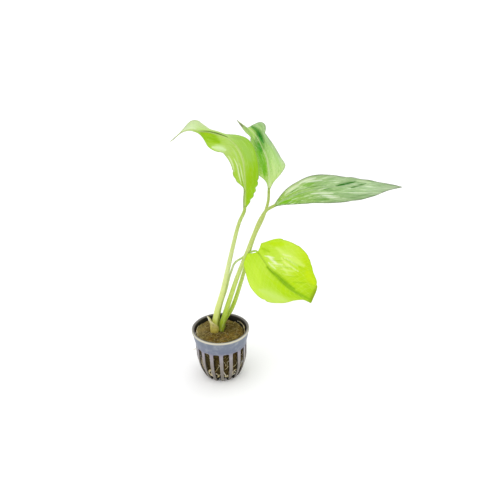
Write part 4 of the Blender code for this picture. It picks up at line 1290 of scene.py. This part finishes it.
def root_skin(settings):
    """Living root, a soft cream skin with a glassy coat of root hairs, browner with age."""
    made, tree, shader = new_material("Living root skin")
    parts = add(tree, "SeparateXYZ", {0: add(tree, "Attribute", attribute_name="root")["Vector"]})
    place = add(tree, "TexCoord")["Object"]
    ramp = [(0.0, "A08C58"), (1.0, "F4EEDA"), (0.3, "C8B88A"), (0.7, tuple(settings.colour))]
    colour = add(tree, "ValToRGB", {0: parts["X"]}, ramp=ramp)[0]
    stain = add(tree, "TexNoise", {"Vector": place, "Scale": 1 / (1.8 * MM), "Detail": 4.0})[0]
    spots = add(tree, "MapRange", {0: stain, 1: 0.5, 2: 0.72, 3: 0.0, 4: 0.5})[0]
    colour = paint(tree, colour, [(spots, "8C7646")])
    fuzz = add(tree, "TexNoise", {"Vector": place, "Scale": 1 / (0.25 * MM), "Detail": 2.0})[0]
    bump = add(tree, "Bump", {"Height": fuzz, "Strength": 0.5, "Distance": 0.1 * MM})[0]
    values = {"Base Color": colour, "Roughness": 0.5, "Normal": bump, "IOR": 1.4}
    settle(tree, shader, {**values, **flesh(0.2, 0.8, 0.6, 0.4)})
    return made


def heights_between(start, end):
    """Heights from start to end about a step apart, each with its share of the way."""
    count = max(round(abs(end - start) / ROOT_STEP), 1)
    return [(k / count, start + (end - start) * k / count) for k in range(count + 1)]


def root_route(root, radius):
    """Down the core, out under the plug and up behind the ribs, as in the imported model."""
    angle = (root["start"] + 0.5) * RIB_PITCH
    core = np.array((CORE.x, CORE.y, 0.0))
    top = lowest("rhizome").z
    deepest = UNDER_PLUG + UNDER_SPACE
    route = [core + on_circle(angle, ROOT_CIRCLE, z) for _, z in heights_between(top, deepest)]
    route.append(on_circle(angle, HUB_RADIUS - ROOT_SPACE, UNDER_PLUG))
    inner = pot_radius(UNDER_PLUG) - WALL
    route.append(on_circle(angle, inner - ROOT_SPACE, UNDER_PLUG + radius / 2))
    low = PLUG_BOTTOM + PLUG_EDGE
    high = low + root["rise"] * (SLOT_TOP - low)
    for share, height in heights_between(low, high):
        turn = angle + share * root["drift"] * RIB_PITCH
        route.append(on_circle(turn, pot_radius(height) - WALL - ROOT_SPACE / 2, height))
    if root["reach"]:
        past = pot_radius(high) + root["reach"] * radius
        halfway = (past + pot_radius(high) - WALL) / 2
        route.append(on_circle(angle, halfway, high + 2 * radius))
        route.append(on_circle(angle, past, high + radius))
    return np.array(route)


def build_roots(settings):
    """The eight roots, gently knotted, tapering to a rounded tip."""
    skin = root_skin(settings)
    section = np.ones(10)
    for number, root in enumerate(ROOTS, start=1):
        route = root_route(root, settings.radius)
        knots = length_knots(route)
        shares = np.linspace(0, 1, 110)
        path = through(route, knots, shares)
        sway = np.stack([noise_at(path, 3 * MM, number + 10 * axis) for axis in range(3)], -1)
        path = path + sway * 0.25 * MM * np.clip(shares * 4, 0, 1)[:, None]
        radii = settings.radius * (1 - 0.35 * shares) * (1 + 0.12 * noise_at(path, 1.5 * MM, 2.0))
        radii = radii * np.sqrt(np.clip((1 - shares) * 30, 0.02, 1))
        rings = rings_along(path, radii, section)
        piece = tube_piece("root_strand_" + str(number), [rings], skin, "root")
        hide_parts("root_" + str(number))


def build_side_roots(settings):
    """Thin side roots that curl in the slots and loop over the plug's top beside the wall."""
    draw = random.Random(23)
    tubes = []
    section = np.ones(7)
    for _ in range(settings.side_roots):
        angle = draw.uniform(0, 2 * math.pi)
        height = PLUG_BOTTOM + (SLOT_TOP - PLUG_BOTTOM) * draw.random() ** 1.8
        heading = draw.uniform(-0.9, 0.9)
        curl = draw.uniform(-2.5, 2.5)
        length = draw.uniform(5, 13) * MM
        steps = np.linspace(0, 1, 26)
        turn = heading + curl * steps
        heights = height + np.cumsum(np.cos(turn)) * length / 26
        heights = np.clip(heights, PLUG_BOTTOM - 0.3 * MM, SLOT_TOP - 0.5 * MM)
        turns = angle + np.cumsum(np.sin(turn)) * length / 26 / (17 * MM)
        sway = 0.5 * MM * np.sin(steps * 7 + angle)
        path = on_circle(turns, pot_radius(heights) - WALL - ROOT_SPACE + 0.8 * MM + sway, heights)
        thick = draw.uniform(0.16, 0.34) * MM
        tubes.append(rings_along(path, thick * (1 - 0.6 * steps), section))
    for angle, height, bend, start, sweep, thick in ROOT_CURLS:
        share = np.linspace(0, 1, 30)
        turn = np.radians(start + sweep * share)
        heights = (height + bend * np.sin(turn)) * MM
        turns = math.radians(angle) + bend * np.cos(turn) / 18
        path = on_circle(turns, pot_radius(heights) - WALL - 0.55 * MM, heights)
        tubes.append(rings_along(path, thick * MM * (1 - 0.4 * share), section))
    for first, last, inset, rise in TOP_LOOPS:
        share = np.linspace(0, 1, 24)
        turns = np.radians(first + (last - first) * share)
        arch = np.sin(math.pi * share)
        radius = pot_radius(PLUG_TOP) - WALL - (inset + 1.2 * arch) * MM
        path = on_circle(turns, radius, PLUG_TOP + (rise * arch - 0.3) * MM)
        tubes.append(rings_along(path, 0.26 * MM * (1 - 0.4 * share), section))
    piece = tube_piece("side_roots", tubes, root_skin(settings), "root")


# Stage


def build_floor(settings):
    """A pale matt sheet, large enough to fill the view."""
    made, tree, shader = new_material("Matt white paper sweep")
    place = add(tree, "TexCoord")["Object"]
    tooth = add(tree, "TexNoise", {"Vector": place, "Scale": 1 / (1.5 * MM), "Detail": 2.0})[0]
    bump = add(tree, "Bump", {"Height": tooth, "Strength": 0.05, "Distance": 0.1 * MM})[0]
    settle(tree, shader, {"Base Color": rgba(tuple(settings.floor)), "Roughness": 0.9, "Normal": bump})
    edit = bmesh.new()
    bmesh.ops.create_grid(edit, x_segments=2, y_segments=2, size=6.0)
    mesh = bpy.data.meshes.new("paper_sweep")
    edit.to_mesh(mesh)
    edit.free()
    mesh.materials.append(made)
    sweep = bpy.data.objects.new("paper_sweep", mesh)
    bpy.context.scene.collection.objects.link(sweep)


def build_lights(settings):
    """Even light from a white room and two large soft boxes."""
    world = bpy.data.worlds.new("White room")
    world.use_nodes = True
    room = world.node_tree.nodes["Background"]
    room.inputs["Color"].default_value = (1.0, 1.0, 1.0, 1.0)
    room.inputs["Strength"].default_value = settings.room_light
    bpy.context.scene.world = world
    aim = Vector((0.02, 0.0, 0.12))
    boxes = [
        ("Key box", Vector((-0.6, -0.7, 1.6)), 1.5, settings.key_light),
        ("Back box", Vector((0.8, 0.9, 1.2)), 1.5, settings.back_light),
    ]
    for name, place, size, power in boxes:
        lamp = bpy.data.lights.new(name, "AREA")
        lamp.size = size
        lamp.energy = power
        box = bpy.data.objects.new(name, lamp)
        box.location = place
        box.rotation_mode = "QUATERNION"
        box.rotation_quaternion = (aim - place).to_track_quat("-Z", "Y")
        bpy.context.scene.collection.objects.link(box)


def build_camera(settings):
    """A camera that looks down on the plant from the front, tilted a little to one side."""
    down = settings.camera_down
    ahead = Vector((0.0, math.cos(down), -math.sin(down)))
    level_up = Vector((0.0, math.sin(down), math.cos(down)))
    tilt = settings.camera_tilt
    right = Vector((math.cos(tilt), 0.0, 0.0)) - level_up * math.sin(tilt)
    up = right.cross(ahead)
    data = bpy.data.cameras.new("Camera")
    data.lens = settings.lens
    data.sensor_width = 36.0
    data.clip_start = 0.05
    data.clip_end = 20.0
    camera = bpy.data.objects.new("Camera", data)
    aim = Vector(settings.aim)
    place = aim - ahead * settings.distance
    bpy.context.scene.collection.objects.link(camera)
    turned = Matrix((right, up, -ahead)).transposed()
    camera.matrix_world = Matrix.Translation(place) @ turned.to_4x4()
    bpy.context.scene.camera = camera
    bpy.context.scene.view_settings.view_transform = "Standard"


# Settings that a user would change


def colour_setting(name, text, description):
    return FloatVectorProperty(
        name=name, description=description, subtype="COLOR", size=3, min=0.0, max=1.0,
        default=hex_colour(text),
    )


def length_setting(name, millimetres, description):
    return FloatProperty(name=name, description=description, unit="LENGTH", default=millimetres * MM)


def angle_setting(name, degrees, description):
    return FloatProperty(
        name=name, description=description, subtype="ANGLE", default=math.radians(degrees)
    )


class PotSettings(bpy.types.PropertyGroup):
    colour: colour_setting("Collar colour", "666D82", "Colour of the moulded collar")
    roughness: FloatProperty(name="Roughness", description="Roughness of the clean plastic", default=0.42)
    lime: FloatProperty(name="Lime film", description="How strongly dried lime shows", default=0.3)
    edge_round: length_setting("Edge rounding", 0.28, "Radius that the mould leaves on the edges")
    slot_corner: length_setting("Slot corners", 0.9, "Radius of the slots' upper corners")


class PlugSettings(bpy.types.PropertyGroup):
    colour: colour_setting("Wool colour", "74601E", "Colour of the stained wool")
    algae: FloatProperty(name="Algae", description="How strongly the green bloom shows", default=0.5)
    top_fibres: IntProperty(name="Top fibres", description="Loose fibres on the plug's top", default=420)
    side_fibres: IntProperty(name="Side fibres", description="Loose fibres in the slots", default=320)


class CrownSettings(bpy.types.PropertyGroup):
    colour: colour_setting("Sheath colour", "D6CC60", "Colour of the dry sheath low down")
    height: length_setting("Sheath height", 17.0, "Height of the torn sheath above the rootstock")
    thickness: length_setting("Sheath thickness", 0.6, "Thickness of the sheath at its foot")


class StalkSettings(bpy.types.PropertyGroup):
    # Painted shade: how strongly the stalks' two sides are painted darker
    side_shade_strength: FloatProperty(
        name="Side shade", description="How strongly the side flanks darken", default=0.45
    )


class BladeSettings(bpy.types.PropertyGroup):
    thickness: length_setting("Blade thickness", 0.36, "Thickness beside the midrib")
    glow: FloatProperty(
        name="Glow", description="Share of the light that passes through the pulp", default=0.1
    )
    vein_strength: FloatProperty(name="Veins", description="How strongly the veins show", default=0.16)


class RootSettings(bpy.types.PropertyGroup):
    colour: colour_setting("Root colour", "DDD0A8", "Colour of the young part of a root")
    radius: length_setting("Root radius", 0.55, "Radius of a root where it starts")
    side_roots: IntProperty(name="Side roots", description="Thin roots over the plug", default=60)


class StageSettings(bpy.types.PropertyGroup):
    floor: colour_setting("Floor", "FAFAFA", "Colour of the paper sweep")
    room_light: FloatProperty(name="Room light", description="Strength of the even light", default=1.14)
    key_light: FloatProperty(name="Key light", description="Power of the front box in watts", default=3.5)
    back_light: FloatProperty(name="Back light", description="Power of the rear box in watts", default=2.0)
    camera_down: angle_setting("Look down", 28.7, "Camera's angle below level")
    camera_tilt: angle_setting("Tilt", 2.2, "Camera's turn about its own axis")
    lens: FloatProperty(name="Lens", description="Focal length on a 36 mm sensor", default=74.16)
    distance: FloatProperty(name="Distance", description="Camera to its aim", unit="LENGTH", default=0.8632)
    aim: FloatVectorProperty(
        name="Aim", description="Point in the middle of the view", subtype="XYZ", size=3,
        default=(0.02846, 0.0, 0.12262),
    )


# Operators, one for each group of pieces


class PLANT_OT_pot(bpy.types.Operator):
    """Build the moulded net pot"""

    bl_idname = "sword_plant.pot"
    bl_label = "Net Pot"

    def execute(self, context):
        build_pot(context.scene.plant_pot)
        return {"FINISHED"}


class PLANT_OT_plug(bpy.types.Operator):
    """Build the fibrous plug and its loose fibres"""

    bl_idname = "sword_plant.plug"
    bl_label = "Fibrous Plug"

    def execute(self, context):
        build_plug(context.scene.plant_plug)
        build_fibres(context.scene.plant_plug)
        return {"FINISHED"}


class PLANT_OT_crown(bpy.types.Operator):
    """Finish the rootstock and build the old leaf's dry sheath"""

    bl_idname = "sword_plant.crown"
    bl_label = "Rootstock and Sheath"

    def execute(self, context):
        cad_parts["rhizome"].material_slots[0].material = corky_rootstock()
        build_sheath(context.scene.plant_crown)
        return {"FINISHED"}


class PLANT_OT_stalks(bpy.types.Operator):
    """Build the four leaf stalks"""

    bl_idname = "sword_plant.stalks"
    bl_label = "Leaf Stalks"

    def execute(self, context):
        for leaf in LEAVES:
            build_stalk(leaf, context.scene.plant_stalks)
        return {"FINISHED"}


class PLANT_OT_blades(bpy.types.Operator):
    """Build the four leaf blades"""

    bl_idname = "sword_plant.blades"
    bl_label = "Leaf Blades"

    def execute(self, context):
        for leaf in LEAVES:
            build_blade(leaf, context.scene.plant_blades)
        return {"FINISHED"}


class PLANT_OT_roots(bpy.types.Operator):
    """Build the roots and their thin side roots"""

    bl_idname = "sword_plant.roots"
    bl_label = "Roots"

    def execute(self, context):
        build_roots(context.scene.plant_roots)
        build_side_roots(context.scene.plant_roots)
        return {"FINISHED"}


class PLANT_OT_stage(bpy.types.Operator):
    """Set up the pale floor, the soft lights and the camera"""

    bl_idname = "sword_plant.stage"
    bl_label = "Stage"

    def execute(self, context):
        settings = context.scene.plant_stage
        build_floor(settings)
        build_lights(settings)
        build_camera(settings)
        return {"FINISHED"}


# Each group of pieces: its settings on the scene, their class and its operator
GROUPS = [
    ("plant_pot", PotSettings, PLANT_OT_pot),
    ("plant_plug", PlugSettings, PLANT_OT_plug),
    ("plant_crown", CrownSettings, PLANT_OT_crown),
    ("plant_stalks", StalkSettings, PLANT_OT_stalks),
    ("plant_blades", BladeSettings, PLANT_OT_blades),
    ("plant_roots", RootSettings, PLANT_OT_roots),
    ("plant_stage", StageSettings, PLANT_OT_stage),
]


class PLANT_PT_sidebar(bpy.types.Panel):
    """The groups of pieces with their settings"""

    bl_idname = "PLANT_PT_sidebar"
    bl_label = "Sword Plant"
    bl_space_type = "VIEW_3D"
    bl_region_type = "UI"
    bl_category = "Sword Plant"

    def draw(self, context):
        for place, settings, operator in GROUPS:
            box = self.layout.box()
            box.operator(operator.bl_idname)
            for key in settings.__annotations__:
                box.prop(getattr(context.scene, place), key)


def register():
    for place, settings, operator in GROUPS:
        bpy.utils.register_class(settings)
        bpy.utils.register_class(operator)
        setattr(bpy.types.Scene, place, PointerProperty(type=settings))
    bpy.utils.register_class(PLANT_PT_sidebar)


def unregister():
    bpy.utils.unregister_class(PLANT_PT_sidebar)
    for place, settings, operator in reversed(GROUPS):
        delattr(bpy.types.Scene, place)
        bpy.utils.unregister_class(operator)
        bpy.utils.unregister_class(settings)


def main():
    register()
    bpy.ops.sword_plant.pot()
    bpy.ops.sword_plant.plug()
    bpy.ops.sword_plant.crown()
    bpy.ops.sword_plant.stalks()
    bpy.ops.sword_plant.blades()
    bpy.ops.sword_plant.roots()
    bpy.ops.sword_plant.stage()
    bpy.context.view_layer.update()


if __name__ == "__main__":
    main()
